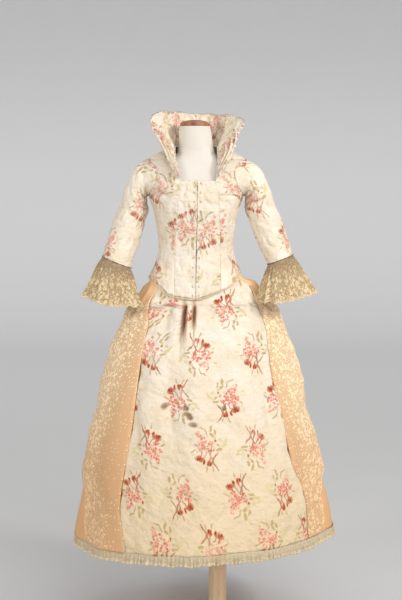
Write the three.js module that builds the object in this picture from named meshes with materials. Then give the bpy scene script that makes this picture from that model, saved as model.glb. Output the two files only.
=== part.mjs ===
// A robe a la francaise worn on a limbless dress form: a fitted brocade bodice with a standing collar, sleeves with
// lace flounces and a pleated sack back, over a long skirt with lace-covered silk sides and a gathered hem.
// Millimetres. +Z is up, the front faces -Y, and +X is the wearer's left. The origin is the middle of the base's
// underside, on the axis of the pole.
import * as THREE from 'three';

// ---------------------------------------------------------------- driving dimensions

const TORSO_X = -75;              // the torso hangs off to one side of the pole
const SEAM_GAP = 0.3;             // between neighbouring panels
const BROCADE = 1.6;              // wall thicknesses
const SILK = 1.6;
const LACE = 1.2;
const COLLAR = 3.0;
const LIFT_OF_LACE = 3.2;         // lace panels stand this far off the silk below them

const CLOSURE_HALF_GAP = 1.5;     // the front edges meet hook to eye, not edge to edge
const HOOK_COUNT = 12;
const HOOK_SIZE = [2.2, 1.0, 3.4];

const NECKLINE_Z = 1539;          // the straight edge across the front
const SHOULDER_NECK_Z = 1660;     // where the shoulder seams meet the collar
const ARMHOLE = { z: 1551.5, halfHeight: 61.5, halfAngle: 28 };
const WAISTBAND = { low: 1263, high: 1290, inset: 6.5 };
const PIPING_RADIUS = 2;
const HEM_Z = 338;                // at HEM_X; the hem rises slightly towards the wearer's left
const HEM_X = -47;
const HEM_SLOPE = 0.043;
const HEM_FLOUNCE = { depth: 33, wave: 4, flare: 3, gap: 0.6, thickness: 1.4 };

const FORM_INSET = 11;            // the form's surface lies this far inside the bodice
const FORM_SHOULDER_DROP = 9;
const NECK_TOP_Z = 1727;
const CAP = { radius: 51, height: 22, x: -79, y: 6 };
const POLE_RADIUS = 31;
const BASE = { radius: 185, height: 12, bevel: 3 };
const TORSO_FOOT_Z = 1150;

// Outside sections of the bodice: height, half width, depth in front of the axis, depth behind it.
const BODICE_SECTIONS = [
  [1120, 193, 134, 142], [1160, 180, 128, 130], [1201, 167, 122, 118], [1246, 147, 112, 100], [1274, 136, 106, 92],
  [1302, 130, 103, 88], [1330, 130, 104, 88], [1385, 137, 112, 92], [1440, 147, 124, 98], [1480, 161, 122, 103],
  [1520, 167, 112, 104], [1560, 170, 98, 100], [1590, 171, 84, 94], [1613, 168, 72, 86], [1630, 145, 62, 80],
  [1650, 100, 52, 72], [1662, 72, 47, 65], [1680, 58, 44, 60],
];
const BODICE_SQUARENESS = 2.4;    // exponent of the section's superellipse; 2 is an ellipse

// Outside sections of the skirt: height, middle, half width, depth in front, depth behind.
const SKIRT_SECTIONS = [
  [300, -47, 452, 446, 466], [338, -47, 447, 436, 455], [431, -46, 430, 405, 435], [545, -53, 405, 365, 408],
  [659, -58, 380, 325, 378], [771, -61, 351, 283, 345], [884, -64.5, 319, 240, 310], [995, -60, 294, 196, 266],
  [1051, -54.5, 277, 172, 240], [1107, -53.5, 252, 150, 210], [1160, -56.5, 208, 134, 165],
  [1212, -62, 176, 122, 130], [1290, -75, 140, 110, 100],
];

// The bodice's lower edge: angle from the centre front in degrees, height.
const LOWER_EDGE = [
  [-180, 1190], [-120, 1200], [-90, 1212], [-67, 1202], [-55, 1187], [-50, 1180], [-40, 1158], [-18, 1145], [0, 1142],
  [15.5, 1151], [34, 1169], [52.5, 1191], [66, 1220], [90, 1230], [120, 1215], [180, 1190],
];

// Seams of the bodice: height, distance from the torso's middle.
const CLOSURE = [[1100, -1], [1145, -1], [1539, 5], [1700, 5]];
const FRONT_SEAM = {
  right: [
    [1100, -74], [1158, -74], [1377, -71], [1480, -60], [1539, -49], [1560, -54], [1590, -61], [1625, -69],
    [1662, -72],
  ],
  left: [
    [1100, 85], [1169, 85], [1377, 82], [1480, 76], [1539, 67], [1560, 68], [1590, 70], [1625, 72], [1662, 72],
  ],
};

// Edges of the brocade front panel and of the lace, in degrees round the skirt: height, angle.
const FRONT_PANEL_EDGE = {
  right: [[300, -36], [338, -36], [470, -41], [715, -39], [1040, -41], [1150, -50], [1290, -54]],
  left: [[300, 51], [338, 51], [510, 54], [600, 50], [1100, 50], [1185, 58], [1290, 60]],
};
const LACE_OUTER_EDGE = {
  right: [[300, -64], [338, -64], [400, -67], [488, -74], [560, -88], [1290, -88]],
  left: [[300, 65], [338, 65], [480, 69], [650, 86], [1290, 88]],
};
const LACE_STAND_OFF = {          // how far the lace's outer edge stands proud
  right: [[300, 4], [545, 10], [884, 12], [1100, 4], [1290, 0]],
  left: [[300, 4], [545, 16], [884, 34], [1060, 14], [1180, 0], [1290, 0]],
};
const LACE_TOP_Z = 1126;

// Sleeve rings in the frontal plane, from under the armhole to the cuff:
// underarm [out, height], top [out, height], half depth, y. "out" is the distance from the torso's middle.
const SLEEVE_RINGS = {
  right: [
    [169, 1486, 186, 1606, 57, 4], [168.5, 1474, 215, 1580, 58, 3], [167, 1459, 243, 1525, 58, 2],
    [163, 1440, 264, 1455, 57, 0], [176, 1388, 288, 1398, 56, -8], [194, 1332, 303, 1345, 54, -22],
    [210, 1290, 312, 1312, 52, -40], [224, 1240, 320, 1281, 50, -60],
  ],
  left: [
    [169, 1486, 190, 1606, 57, 4], [168.5, 1474, 223, 1580, 58, 3], [167, 1459, 252, 1525, 58, 2],
    [168, 1440, 274, 1455, 57, 0], [186, 1388, 299, 1398, 56, -8], [209, 1332, 316, 1345, 54, -22],
    [229, 1290, 325, 1315, 52, -40], [246, 1254, 331, 1287, 50, -60],
  ],
};
const CUFF_FLOUNCE = {            // the lowest ring, in the same terms
  right: [185, 1122, 378, 1150, 62, -105],
  left: [212, 1136, 399, 1165, 62, -107],
};
const CUFF_FLOUNCE_FOLDS = 8;
const CUFF_FLOUNCE_WAVE = 0.09;
const BRAID = { low: 99.6, high: 98.5, thickness: 1, clearance: 0.6 };   // low and high in hundredths of the sleeve

// The collar's upper edge, from the neckline corner round to the centre back: out, y, height.
const COLLAR_RIM = {
  right: [
    [-60, -116, 1556], [-84, -106, 1596], [-112, -90, 1650], [-140, -72, 1712], [-150, -56, 1748], [-138, -12, 1769],
    [-98, 52, 1778], [-50, 98, 1776], [-1, 114, 1774],
  ],
  left: [
    [76, -112, 1556], [98, -102, 1592], [120, -90, 1636], [140, -74, 1690], [164, -44, 1733], [143, 8, 1757],
    [92, 62, 1766], [46, 98, 1771], [1, 114, 1774],
  ],
};

// The sack back: height, half width, y of its middle.
const SACK = [
  [338, 330, 470], [431, 318, 449], [545, 300, 422], [659, 280, 392], [771, 258, 359], [884, 232, 324],
  [1000, 205, 280], [1107, 172, 228], [1160, 148, 192], [1220, 124, 160], [1300, 106, 142], [1400, 101, 127],
  [1500, 95, 116], [1550, 90, 112], [1600, 82, 104], [1648, 66, 85],
];
const SACK_FOLD = { depth: 6, under: 30 };

const COLLAR_BASE = { out: 3.4, lift: 2.4, shoulder: 0.6, bow: 5 };   // shoulder: share of its length before the seam
const SLEEVE_HEAD = { shrink: 0.985, out: 0.5 };
const SIDE_SEAM_ANGLE = 92;

// ---------------------------------------------------------------- small mathematics

const degrees = Math.PI / 180;
const mix = (a, b, t) => a + (b - a) * t;
const clamp = (x, low, high) => Math.min(high, Math.max(low, x));
const smoothstep = (low, high, x) => {
  const t = clamp((x - low) / (high - low), 0, 1);
  return t * t * (3 - 2 * t);
};
const steps = (count, from = 0, to = 1) => Array.from({ length: count + 1 }, (_, i) => mix(from, to, i / count));

// Rows of [place, value, value...] become a function of place: a cubic that never overshoots its rows.
function smooth(rows) {
  const places = rows.map((row) => row[0]);
  const width = rows[0].length - 1;
  const slope = (i, k) => (rows[i + 1][k] - rows[i][k]) / (places[i + 1] - places[i]);
  const tangent = (i, k) => {
    if (i === 0) return slope(0, k);
    if (i === rows.length - 1) return slope(i - 1, k);
    const before = slope(i - 1, k);
    const after = slope(i, k);
    return before * after <= 0 ? 0 : (2 * before * after) / (before + after);
  };
  return (place) => {
    const x = clamp(place, places[0], places.at(-1));
    let i = 0;
    while (i < rows.length - 2 && x > places[i + 1]) i += 1;
    const span = places[i + 1] - places[i];
    const t = (x - places[i]) / span;
    const values = [];
    for (let k = 1; k <= width; k += 1) {
      const rise = rows[i + 1][k] - rows[i][k];
      const start = tangent(i, k) * span;
      const end = tangent(i + 1, k) * span;
      values.push(rows[i][k] + t * (start + t * (3 * rise - 2 * start - end + t * (start + end - 2 * rise))));
    }
    return width === 1 ? values[0] : values;
  };
}

// A Catmull-Rom curve through equal steps of points, each a list of numbers.
function through(points) {
  const curve = (t, k) => {
    const x = clamp(t, 0, 1) * (points.length - 1);
    const i = Math.min(Math.floor(x), points.length - 2);
    const f = x - i;
    const at = (j) => points[clamp(j, 0, points.length - 1)][k];
    const [p, q, r, s] = [at(i - 1), at(i), at(i + 1), at(i + 2)];
    return q + 0.5 * f * (r - p + f * (2 * p - 5 * q + 4 * r - s + f * (3 * (q - r) + s - p)));
  };
  return (t) => points[0].map((_, k) => curve(t, k));
}

// ---------------------------------------------------------------- the surfaces

const bodiceSection = smooth(BODICE_SECTIONS);
const skirtSection = smooth(SKIRT_SECTIONS);
const lowerEdge = smooth(LOWER_EDGE);
const closure = smooth(CLOSURE);
const frontSeam = { right: smooth(FRONT_SEAM.right), left: smooth(FRONT_SEAM.left) };
const frontPanelEdge = { right: smooth(FRONT_PANEL_EDGE.right), left: smooth(FRONT_PANEL_EDGE.left) };
const laceOuterEdge = { right: smooth(LACE_OUTER_EDGE.right), left: smooth(LACE_OUTER_EDGE.left) };
const laceStandOff = { right: smooth(LACE_STAND_OFF.right), left: smooth(LACE_STAND_OFF.left) };
const sackShape = smooth(SACK);
const hemHeight = (x) => HEM_Z + HEM_SLOPE * (x - HEM_X);

// A point of a superellipse at an angle in degrees, 0 at the front and positive towards +X.
function onSection([halfWidth, front, back], angle, squareness) {
  const s = Math.sin(angle * degrees);
  const c = Math.cos(angle * degrees);
  const depth = c > 0 ? front : back;
  const r = (Math.abs(s / halfWidth) ** squareness + Math.abs(c / depth) ** squareness) ** (-1 / squareness);
  return [r * s, -r * c];
}

function onBodice(angle, z, out = 0) {
  const section = bodiceSection(z).map((size) => size + out);
  const [x, y] = onSection(section, angle, BODICE_SQUARENESS);
  return new THREE.Vector3(TORSO_X + x, y, z);
}

// The angle at which the bodice's front is a given distance from the torso's middle.
function bodiceAngle(distance, z) {
  const [halfWidth, front] = bodiceSection(z);
  const share = Math.min(Math.abs(distance) / halfWidth, 1);
  const y = front * (1 - share ** BODICE_SQUARENESS) ** (1 / BODICE_SQUARENESS);
  return Math.sign(distance) * Math.atan2(Math.abs(distance), y) / degrees;
}

// Two deep pleats below the bodice's point, one soft fold beside them, and slow waves that grow towards the hem.
function skirtFold(angle, z) {
  const high = smoothstep(960, 1080, z);
  const pleat = (centre, width, depth) => -depth * Math.exp(-(((angle - centre) / width) ** 2));
  const pleats = high * (pleat(-14, 2.4, 13) + pleat(-6.5, 2.4, 13) + pleat(-28, 5, 6));
  const waves = 5 * Math.cos((9 * angle + 40) * degrees) + 3 * Math.cos((14 * angle - 25) * degrees);
  return pleats + waves * smoothstep(900, HEM_Z, z);
}

// The skirt lies close under the bodice and springs out below its lower edge.
function onSkirt(angle, z, out = 0) {
  const [middle, halfWidth, front, back] = skirtSection(z);
  const push = out + skirtFold(angle, z);
  const s = Math.sin(angle * degrees);
  const c = Math.cos(angle * degrees);
  const free = new THREE.Vector3(middle + (halfWidth + push) * s, -((c > 0 ? front : back) + push) * c, z);
  const bearing = Math.atan2(free.x - TORSO_X, -free.y) / degrees;
  const edge = lowerEdge(bearing);
  const under = onBodice(bearing, z, -WAISTBAND.inset);
  return free.lerp(under, smoothstep(edge - 36, edge - 18, z));
}

const skirtBearing = (angle) => {
  const p = onSkirt(angle, 1180);
  return Math.atan2(p.x - TORSO_X, -p.y) / degrees;
};

// ---------------------------------------------------------------- making solids

function solid(positions, triangles) {
  const geometry = new THREE.BufferGeometry();
  const corner = (i) => positions[i];
  let volume = 0;
  for (const [a, b, c] of triangles) volume += corner(a).dot(corner(b).clone().cross(corner(c)));
  const faces = volume > 0 ? triangles : triangles.map(([a, b, c]) => [a, c, b]);
  geometry.setAttribute('position', new THREE.Float32BufferAttribute(positions.flatMap((p) => p.toArray()), 3));
  geometry.setIndex(faces.flat());
  geometry.computeVertexNormals();
  return geometry;
}

// A wall of cloth. surface(a, b) gives its outer face, grid holds rows of [a, b], and the inner face lies one
// thickness along the surface's normal. A ring closes on itself across each row; level keeps the thickness
// horizontal. side is -1 where a runs the other way round.
function wall(surface, grid, thickness, { ring = false, level = false, side = 1 } = {}) {
  const tiny = 0.01;
  const rows = grid.length;
  const columns = grid[0].length;
  const outer = [];
  const inner = [];
  for (const row of grid) {
    for (const [a, b] of row) {
      const across = surface(a + tiny, b).sub(surface(a - tiny, b));
      const up = surface(a, b + tiny).sub(surface(a, b - tiny));
      const normal = across.cross(up);
      if (level) normal.z = 0;
      const point = surface(a, b);
      outer.push(point);
      inner.push(point.clone().addScaledVector(normal.normalize(), -thickness * side));
    }
  }
  const triangles = [];
  const quad = (a, b, c, d) => triangles.push([a, b, c], [a, c, d]);
  const last = outer.length;
  const at = (j, i) => j * columns + (i % columns);
  const across = ring ? columns : columns - 1;
  for (let j = 0; j < rows - 1; j += 1) {
    for (let i = 0; i < across; i += 1) {
      const [a, b, c, d] = [at(j, i), at(j, i + 1), at(j + 1, i + 1), at(j + 1, i)];
      quad(a, b, c, d);
      quad(last + a, last + d, last + c, last + b);
    }
  }
  for (let i = 0; i < across; i += 1) {
    quad(at(0, i + 1), at(0, i), last + at(0, i), last + at(0, i + 1));
    quad(at(rows - 1, i), at(rows - 1, i + 1), last + at(rows - 1, i + 1), last + at(rows - 1, i));
  }
  for (let j = 0; j < rows - 1 && !ring; j += 1) {
    quad(at(j, 0), at(j + 1, 0), last + at(j + 1, 0), last + at(j, 0));
    quad(at(j + 1, columns - 1), at(j, columns - 1), last + at(j, columns - 1), last + at(j + 1, columns - 1));
  }
  return solid([...outer, ...inner], triangles);
}

// A closed body from rings of points, low to high, with a flat face at each end.
function loft(rings) {
  const sides = rings[0].length;
  const points = rings.flat();
  const triangles = [];
  for (let j = 0; j < rings.length - 1; j += 1) {
    for (let i = 0; i < sides; i += 1) {
      const next = (i + 1) % sides;
      const [a, b, c, d] = [j * sides + i, j * sides + next, (j + 1) * sides + next, (j + 1) * sides + i];
      triangles.push([a, b, c], [a, c, d]);
    }
  }
  const top = (rings.length - 1) * sides;
  for (let i = 1; i < sides - 1; i += 1) triangles.push([0, i + 1, i], [top, top + i, top + i + 1]);
  return solid(points, triangles);
}

const group = new THREE.Group();
function add(name, geometry, material) {
  const mesh = new THREE.Mesh(geometry, material);
  mesh.name = name;
  group.add(mesh);
  return mesh;
}

const finish = (color, roughness, metalness = 0) => new THREE.MeshStandardMaterial({ color, roughness, metalness });
const brocade = finish('#efe4cf', 0.55);
const silk = finish('#e0b07e', 0.5);
const sleeveLace = finish('#b79a6c', 0.85);
const panelLace = finish('#dcc093', 0.85);
const hemLace = finish('#c9c3a6', 0.85);
const piping = finish('#9c8262', 0.7);
const canvas = finish('#f3ece2', 0.9);
const wood = finish('#d9b083', 0.5);
const metal = finish('#8f8c88', 0.4, 0.9);
const steel = finish('#c9c4ba', 0.35, 0.9);

// ---------------------------------------------------------------- the dress form

function torso() {
  const heights = [
    TORSO_FOOT_Z, 1190, 1230, 1270, 1310, 1350, 1400, 1440, 1480, 1520, 1560, 1585, 1600, 1612, 1622, 1633, 1644,
  ];
  const turns = steps(24, -180, 180).slice(0, -1);
  const rings = heights.map((z) => {
    const lift = FORM_SHOULDER_DROP * smoothstep(1540, 1600, z);
    const section = bodiceSection(z + lift).map((size) => size - FORM_INSET + 2 * smoothstep(1540, 1600, z));
    return turns.map((angle) => {
      const [x, y] = onSection(section, angle, BODICE_SQUARENESS);
      return new THREE.Vector3(TORSO_X + x, y, z);
    });
  });
  const neck = [[1656, 63, 42, 56], [1674, 59, 42, 56], [1696, 57, 43, 56], [NECK_TOP_Z, 52, 44, 57]];
  for (const [z, ...section] of neck) {
    const middle = mix(TORSO_X, CAP.x, smoothstep(1640, NECK_TOP_Z, z));
    rings.push(turns.map((angle) => {
      const [x, y] = onSection(section, angle, 2);
      return new THREE.Vector3(middle + x, y, z);
    }));
  }
  return loft(rings);
}

function turned(profile, sides) {
  const geometry = new THREE.LatheGeometry(profile.map(([r, z]) => new THREE.Vector2(r, z)), sides);
  return geometry.rotateX(Math.PI / 2);
}

function dressForm() {
  add('form_torso', torso(), canvas);
  const dome = steps(5, 0, 90).map((a) => [
    CAP.radius * Math.cos(a * degrees), CAP.height * (0.3 + 0.7 * Math.sin(a * degrees)),
  ]);
  dome[dome.length - 1][0] = 0;
  const cap = add('form_neck_cap', turned([[0, 0], [CAP.radius, 0], ...dome], 24), wood);
  cap.position.set(CAP.x, CAP.y, NECK_TOP_Z + SEAM_GAP);
  const poleLength = TORSO_FOOT_Z - BASE.height - 2 * SEAM_GAP;
  const pole = add('form_pole', new THREE.CylinderGeometry(POLE_RADIUS, POLE_RADIUS, poleLength, 24), wood);
  pole.rotation.x = Math.PI / 2;
  pole.position.z = BASE.height + SEAM_GAP + poleLength / 2;
  const { radius, height, bevel } = BASE;
  const plate = [[0, 0], [radius, 0], [radius, height - bevel], [radius - bevel, height], [0, height]];
  add('form_base', turned(plate, 40), metal);
}

// ---------------------------------------------------------------- the bodice

// Each panel has a row along the lower edge, then level rows; those beside the armhole match the sleeve's ring.
const ARMHOLE_SIDES = 12;
const armholeHeight = (turn) => ARMHOLE.z + ARMHOLE.halfHeight * Math.cos(turn * degrees);
const armholeRows = steps(ARMHOLE_SIDES / 2, 180, 0).map(armholeHeight);
const LEVEL_ROWS = [
  1245, 1275, 1305, 1345, 1395, 1440, ...armholeRows, NECKLINE_Z, 1625, 1636, 1645, 1653, SHOULDER_NECK_Z,
].sort((a, b) => a - b);

// How far the armhole cuts back from the side seam at a height, in degrees.
function armholeCut(z) {
  const share = (z - ARMHOLE.z) / ARMHOLE.halfHeight;
  return Math.abs(share) < 1 ? ARMHOLE.halfAngle * Math.sqrt(1 - share * share) : 0;
}

function bodicePanel(name, from, to, topZ, columns) {
  const heights = LEVEL_ROWS.filter((z) => z <= topZ);
  const row = (z) => steps(columns).map((u) => [mix(from(z), to(z), u), z]);
  const lowRow = row(1180).map(([angle]) => [angle, lowerEdge(angle)]);
  const lowest = lowRow.map(([, z], i) => [mix(from(z), to(z), i / columns), z]);
  add(name, wall(onBodice, [lowest, ...heights.map(row)], BROCADE), brocade);
  return lowest;
}

const gapAngle = (z) => (SEAM_GAP / 2 / bodiceSection(z)[0]) / degrees;

function bodice() {
  const seam = (side) => (z) => bodiceAngle(frontSeam[side](z), z);
  const edge = (side) => (z) => bodiceAngle(closure(z) + side * CLOSURE_HALF_GAP, z);
  const rightSeam = seam('right');
  const leftSeam = seam('left');
  const frontRight = bodicePanel('bodice_front_right', (z) => rightSeam(z) + gapAngle(z) * 2, edge(-1), NECKLINE_Z, 3);
  const frontLeft = bodicePanel('bodice_front_left', edge(1), (z) => leftSeam(z) - gapAngle(z) * 2, NECKLINE_Z, 3);
  const side = (z) => 90 - armholeCut(z) - gapAngle(z);
  const sideRight = bodicePanel('bodice_side_front_right', (z) => -side(z), rightSeam, SHOULDER_NECK_Z, 4);
  const sideLeft = bodicePanel('bodice_side_front_left', leftSeam, side, SHOULDER_NECK_Z, 4);
  const back = (z) => 90 + armholeCut(z) + gapAngle(z);
  const backLeft = bodicePanel('bodice_back_left', back, (z) => 180 - gapAngle(z), SHOULDER_NECK_Z, 5);
  const backRight = bodicePanel('bodice_back_right', (z) => gapAngle(z) - 180, (z) => -back(z), SHOULDER_NECK_Z, 5);
  loweredEdging('bodice_edging_right', [...backRight.slice(1), ...sideRight, ...frontRight]);
  loweredEdging('bodice_edging_left', [...frontLeft, ...sideLeft, ...backLeft]);
}

// Piping under the lower edge: a six-sided cord through the panels' own corners.
function loweredEdging(name, corners) {
  const places = corners.filter(([angle], i) => i === 0 || angle - corners[i - 1][0] > 2);
  const centres = places.map(([angle, z]) => onBodice(angle, z, 0.6));
  for (const p of centres) p.z -= PIPING_RADIUS + 3 * SEAM_GAP;
  const rings = centres.map((p, i) => {
    const ahead = centres[Math.min(i + 1, centres.length - 1)].clone().sub(centres[Math.max(i - 1, 0)]).normalize();
    const side = new THREE.Vector3(0, 0, 1).cross(ahead).normalize();
    const up = ahead.clone().cross(side);
    return steps(6, 0, 360).slice(0, -1).map((turn) => p.clone()
      .addScaledVector(side, PIPING_RADIUS * Math.cos(turn * degrees))
      .addScaledVector(up, PIPING_RADIUS * Math.sin(turn * degrees)));
  });
  add(name, loft(rings), piping);
}

function hooks() {
  const spacing = (NECKLINE_Z - 1170) / (HOOK_COUNT - 1);
  for (let i = 0; i < HOOK_COUNT; i += 1) {
    const z = 1160 + spacing * i;
    const slope = bodiceSection(z + 1)[1] - bodiceSection(z - 1)[1];
    const hook = add(`hook_${String(i + 1).padStart(2, '0')}`, new THREE.BoxGeometry(...HOOK_SIZE), steel);
    hook.position.set(TORSO_X + closure(z), -bodiceSection(z)[1] + BROCADE / 2, z);
    hook.rotation.x = Math.atan(slope / 2);
  }
}

// ---------------------------------------------------------------- collar

// The collar stands on the neckline: up from its front corner, over the shoulder, and level round the back.
function collarHalf(name, side) {
  const sign = side === 'left' ? 1 : -1;
  const base = (u) => {
    const rise = clamp(u / COLLAR_BASE.shoulder, 0, 1);
    const z = mix(NECKLINE_Z + 6, SHOULDER_NECK_Z, rise);
    const seam = bodiceAngle(frontSeam[side](z), z);
    const round = clamp((u - COLLAR_BASE.shoulder) / (1 - COLLAR_BASE.shoulder), 0, 1);
    const p = onBodice(sign * mix(Math.abs(seam), 179.85, round), z, COLLAR_BASE.out);
    p.z += COLLAR_BASE.lift;
    return p;
  };
  const rim = through(COLLAR_RIM[side]);
  const surface = (u, v) => {
    const [out, y, z] = rim(u);
    const low = base(u);
    const high = new THREE.Vector3(TORSO_X + out, y, z);
    const p = low.lerp(high, v);
    p.z += COLLAR_BASE.bow * 4 * v * (1 - v);
    return p;
  };
  const scaled = (a, b) => surface(clamp(a / 100, 0, 1), b / 100);
  const grid = steps(3, 0, 100).map((v) => steps(10, 0, 100).map((u) => [u, v]));
  add(name, wall(scaled, grid, COLLAR, { side: sign }), brocade);
}

// ---------------------------------------------------------------- sleeves

function ringPoint([underOut, underZ, topOut, topZ, depth, y], turn, sign, swell = 1) {
  const c = Math.cos(turn * degrees) * swell;
  const s = Math.sin(turn * degrees) * swell;
  const out = (topOut + underOut) / 2 + ((topOut - underOut) / 2) * c;
  const z = (topZ + underZ) / 2 + ((topZ - underZ) / 2) * c;
  return [TORSO_X + sign * out, y - depth * s, z];
}

function sleeve(side) {
  const sign = side === 'left' ? 1 : -1;
  const rings = SLEEVE_RINGS[side];
  const head = (turn) => {
    const { shrink, out } = SLEEVE_HEAD;
    const bearing = 90 - ARMHOLE.halfAngle * shrink * Math.sin(turn * degrees);
    const z = ARMHOLE.z + ARMHOLE.halfHeight * shrink * Math.cos(turn * degrees);
    return onBodice(sign * bearing, z, out).toArray();
  };
  const surface = (turn, along) => {
    const path = through([head(turn), ...rings.map((ring) => ringPoint(ring, turn, sign))]);
    return new THREE.Vector3(...path(along / 100));
  };
  const turns = steps(ARMHOLE_SIDES, 0, 360).slice(0, -1);
  const grid = steps(rings.length, 0, 100).map((along) => turns.map((turn) => [turn, along]));
  add(`sleeve_${side}`, wall(surface, grid, BROCADE, { ring: true, side: sign }), brocade);

  const braidSurface = (turn, along) => {
    const p = surface(turn, along);
    const across = surface(turn + 0.1, along).sub(surface(turn - 0.1, along));
    const down = surface(turn, along + 0.1).sub(surface(turn, along - 0.1));
    return p.addScaledVector(across.cross(down).normalize(), sign * (BRAID.thickness + BRAID.clearance));
  };
  const braidRows = [BRAID.high, BRAID.low].map((along) => turns.map((turn) => [turn, along]));
  add(`cuff_braid_${side}`, wall(braidSurface, braidRows, BRAID.thickness, { ring: true, side: sign }), piping);

  const cuff = rings.at(-1);
  const low = CUFF_FLOUNCE[side];
  const flounceSurface = (turn, along) => {
    const t = along / 100;
    const swell = 1 + CUFF_FLOUNCE_WAVE * t * Math.sin(CUFF_FLOUNCE_FOLDS * turn * degrees);
    const spread = Math.max(t, 0) ** 0.8;
    const ring = cuff.map((value, i) => mix(value, low[i], i === 1 || i === 3 || i === 5 ? t : spread));
    const p = new THREE.Vector3(...ringPoint(ring, turn, sign, swell));
    p.z -= 0.6 + 14 * t * Math.sin(turn * degrees) ** 2;
    return p;
  };
  const flounceTurns = steps(32, 0, 360).slice(0, -1);
  const flounceGrid = steps(3, 0, 100).map((along) => flounceTurns.map((turn) => [turn, along]));
  add(`sleeve_flounce_${side}`, wall(flounceSurface, flounceGrid, LACE, { ring: true, side: sign }), sleeveLace);
}

// ---------------------------------------------------------------- the skirt

// Rows of the skirt: the hem, level rows, two rows that follow the bodice's lower edge, and the waistband.
const SKIRT_LEVELS = [431, 545, 659, 771, 884, 995, 1080];
function skirtRow(level, angles) {
  return angles.map((angle) => {
    if (level === 'hem') {
      const x = onSkirt(angle, HEM_Z).x;
      return [angle, hemHeight(x)];
    }
    if (level < 0) return [angle, lowerEdge(skirtBearing(angle)) + level];
    return [angle, level];
  });
}
const SKIRT_ROWS = ['hem', ...SKIRT_LEVELS, -36, -18, 1245, WAISTBAND.low - 0.4];

function skirtPanel(name, from, to, shares, material) {
  const grid = SKIRT_ROWS.map((level) => {
    const z = level === 'hem' ? HEM_Z : level < 0 ? 1180 + level : level;
    return skirtRow(level, shares.map((u) => mix(from(z), to(z), u)));
  });
  add(name, wall(onSkirt, grid, SILK, { level: true }), material);
}

const skirtGap = (z) => (SEAM_GAP / skirtSection(z)[1]) / degrees;

function skirt() {
  const right = frontPanelEdge.right;
  const left = frontPanelEdge.left;
  const sideSeam = SIDE_SEAM_ANGLE;
  const pleated = [0, 0.09, 0.18, 0.25, 0.295, 0.33, 0.365, 0.4, 0.44, 0.5, 0.58, 0.68, 0.78, 0.89, 1];
  skirtPanel('skirt_front', right, left, pleated, brocade);
  skirtPanel('skirt_side_right', () => -sideSeam, (z) => right(z) - skirtGap(z), steps(5), silk);
  skirtPanel('skirt_side_left', (z) => left(z) + skirtGap(z), () => sideSeam, steps(5), silk);
  skirtPanel('skirt_back_left', (z) => sideSeam + skirtGap(z), (z) => 180 - skirtGap(z) / 2, steps(8), silk);
  skirtPanel('skirt_back_right', (z) => skirtGap(z) / 2 - 180, (z) => -sideSeam - skirtGap(z), steps(8), silk);

  const band = (angle, z) => onBodice(angle, z, -WAISTBAND.inset);
  const turns = steps(30, -180, 180).slice(0, -1);
  const rows = [WAISTBAND.low, WAISTBAND.high].map((z) => turns.map((angle) => [angle, z]));
  add('waistband', wall(band, rows, SILK, { ring: true, level: true }), silk);
}

// Lace laid over each silk side, from the brocade's edge to a free outer edge that stands away from the skirt.
function lacePanel(side) {
  const inner = frontPanelEdge[side];
  const outer = laceOuterEdge[side];
  const surface = (angle, z) => {
    const share = clamp((angle - inner(z)) / (outer(z) - inner(z)), 0, 1);
    return onSkirt(angle, z, LIFT_OF_LACE + laceStandOff[side](z) * share * share);
  };
  const rows = [-1, ...SKIRT_LEVELS, LACE_TOP_Z].map((level) => {
    const z = level < 0 ? HEM_Z + 4 : level;
    const angles = steps(6).map((u) => mix(inner(z), outer(z), side === 'left' ? u : 1 - u));
    return angles.map((angle) => [angle, level < 0 ? hemHeight(onSkirt(angle, HEM_Z).x) + 4 : level]);
  });
  add(`lace_panel_${side}`, wall(surface, rows, LACE, { level: true }), panelLace);
}

// The gathered lace at the hem hangs from the skirt's lower edge in small waves.
function hemFlounce(name, from, to, folds) {
  const { depth, wave, flare, gap, thickness } = HEM_FLOUNCE;
  const surface = (angle, drop) => {
    const p = onSkirt(angle, HEM_Z, drop * flare);
    const phase = ((angle - from) / (to - from)) * folds * Math.PI * 2;
    const push = drop * wave * Math.cos(phase);
    const outward = new THREE.Vector3(p.x - HEM_X, p.y, 0).normalize();
    p.addScaledVector(outward, push);
    p.z = hemHeight(p.x) - gap - depth * drop;
    return p;
  };
  const angles = steps(folds * 2, from + 0.03, to - 0.03);
  const grid = [1, 0.45, 0].map((drop) => angles.map((angle) => [angle, drop]));
  add(name, wall(surface, grid, thickness, { level: true }), hemLace);
}

// ---------------------------------------------------------------- the sack back

// One of two box pleats that hang from the back of the neck: a face, and an edge turned under it.
function sackPleat(name, sign) {
  const surface = (along, z) => {
    const [halfWidth, y] = sackShape(z);
    const face = clamp(along / 100, 0, 1);
    const turnedUnder = clamp((along - 100) / 50, 0, 1);
    const reach = halfWidth * face - SACK_FOLD.under * Math.max(0, turnedUnder - 0.25) / 0.75;
    const inward = SACK_FOLD.depth * smoothstep(0, 0.25, turnedUnder);
    const bulge = 2 * Math.sin(Math.PI * clamp(turnedUnder / 0.25, 0, 1));
    const [middle, skirtWidth] = skirtSection(z);
    const fitted = smoothstep(1180, 1260, z);
    const squareness = mix(2, BODICE_SQUARENESS, fitted);
    const wide = mix(skirtWidth, bodiceSection(z)[0], fitted) + 16;
    const x = reach + bulge + SEAM_GAP / 2;
    const deep = (y - inward) * (1 - Math.min(x / wide, 0.999) ** squareness) ** (1 / squareness);
    return new THREE.Vector3(middle + sign * x, deep, z);
  };
  const stops = [0, 34, 68, 100, 106, 112.5, 150];
  const rows = [352, 431, 545, 659, 771, 884, 1000, 1107, 1160, 1220, 1300, 1400, 1500, 1550, 1600, 1648];
  const grid = rows.map((z) => stops.map((along) => [along, z]));
  add(name, wall(surface, grid, BROCADE, { side: -sign }), brocade);
}

// ---------------------------------------------------------------- assembly

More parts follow.
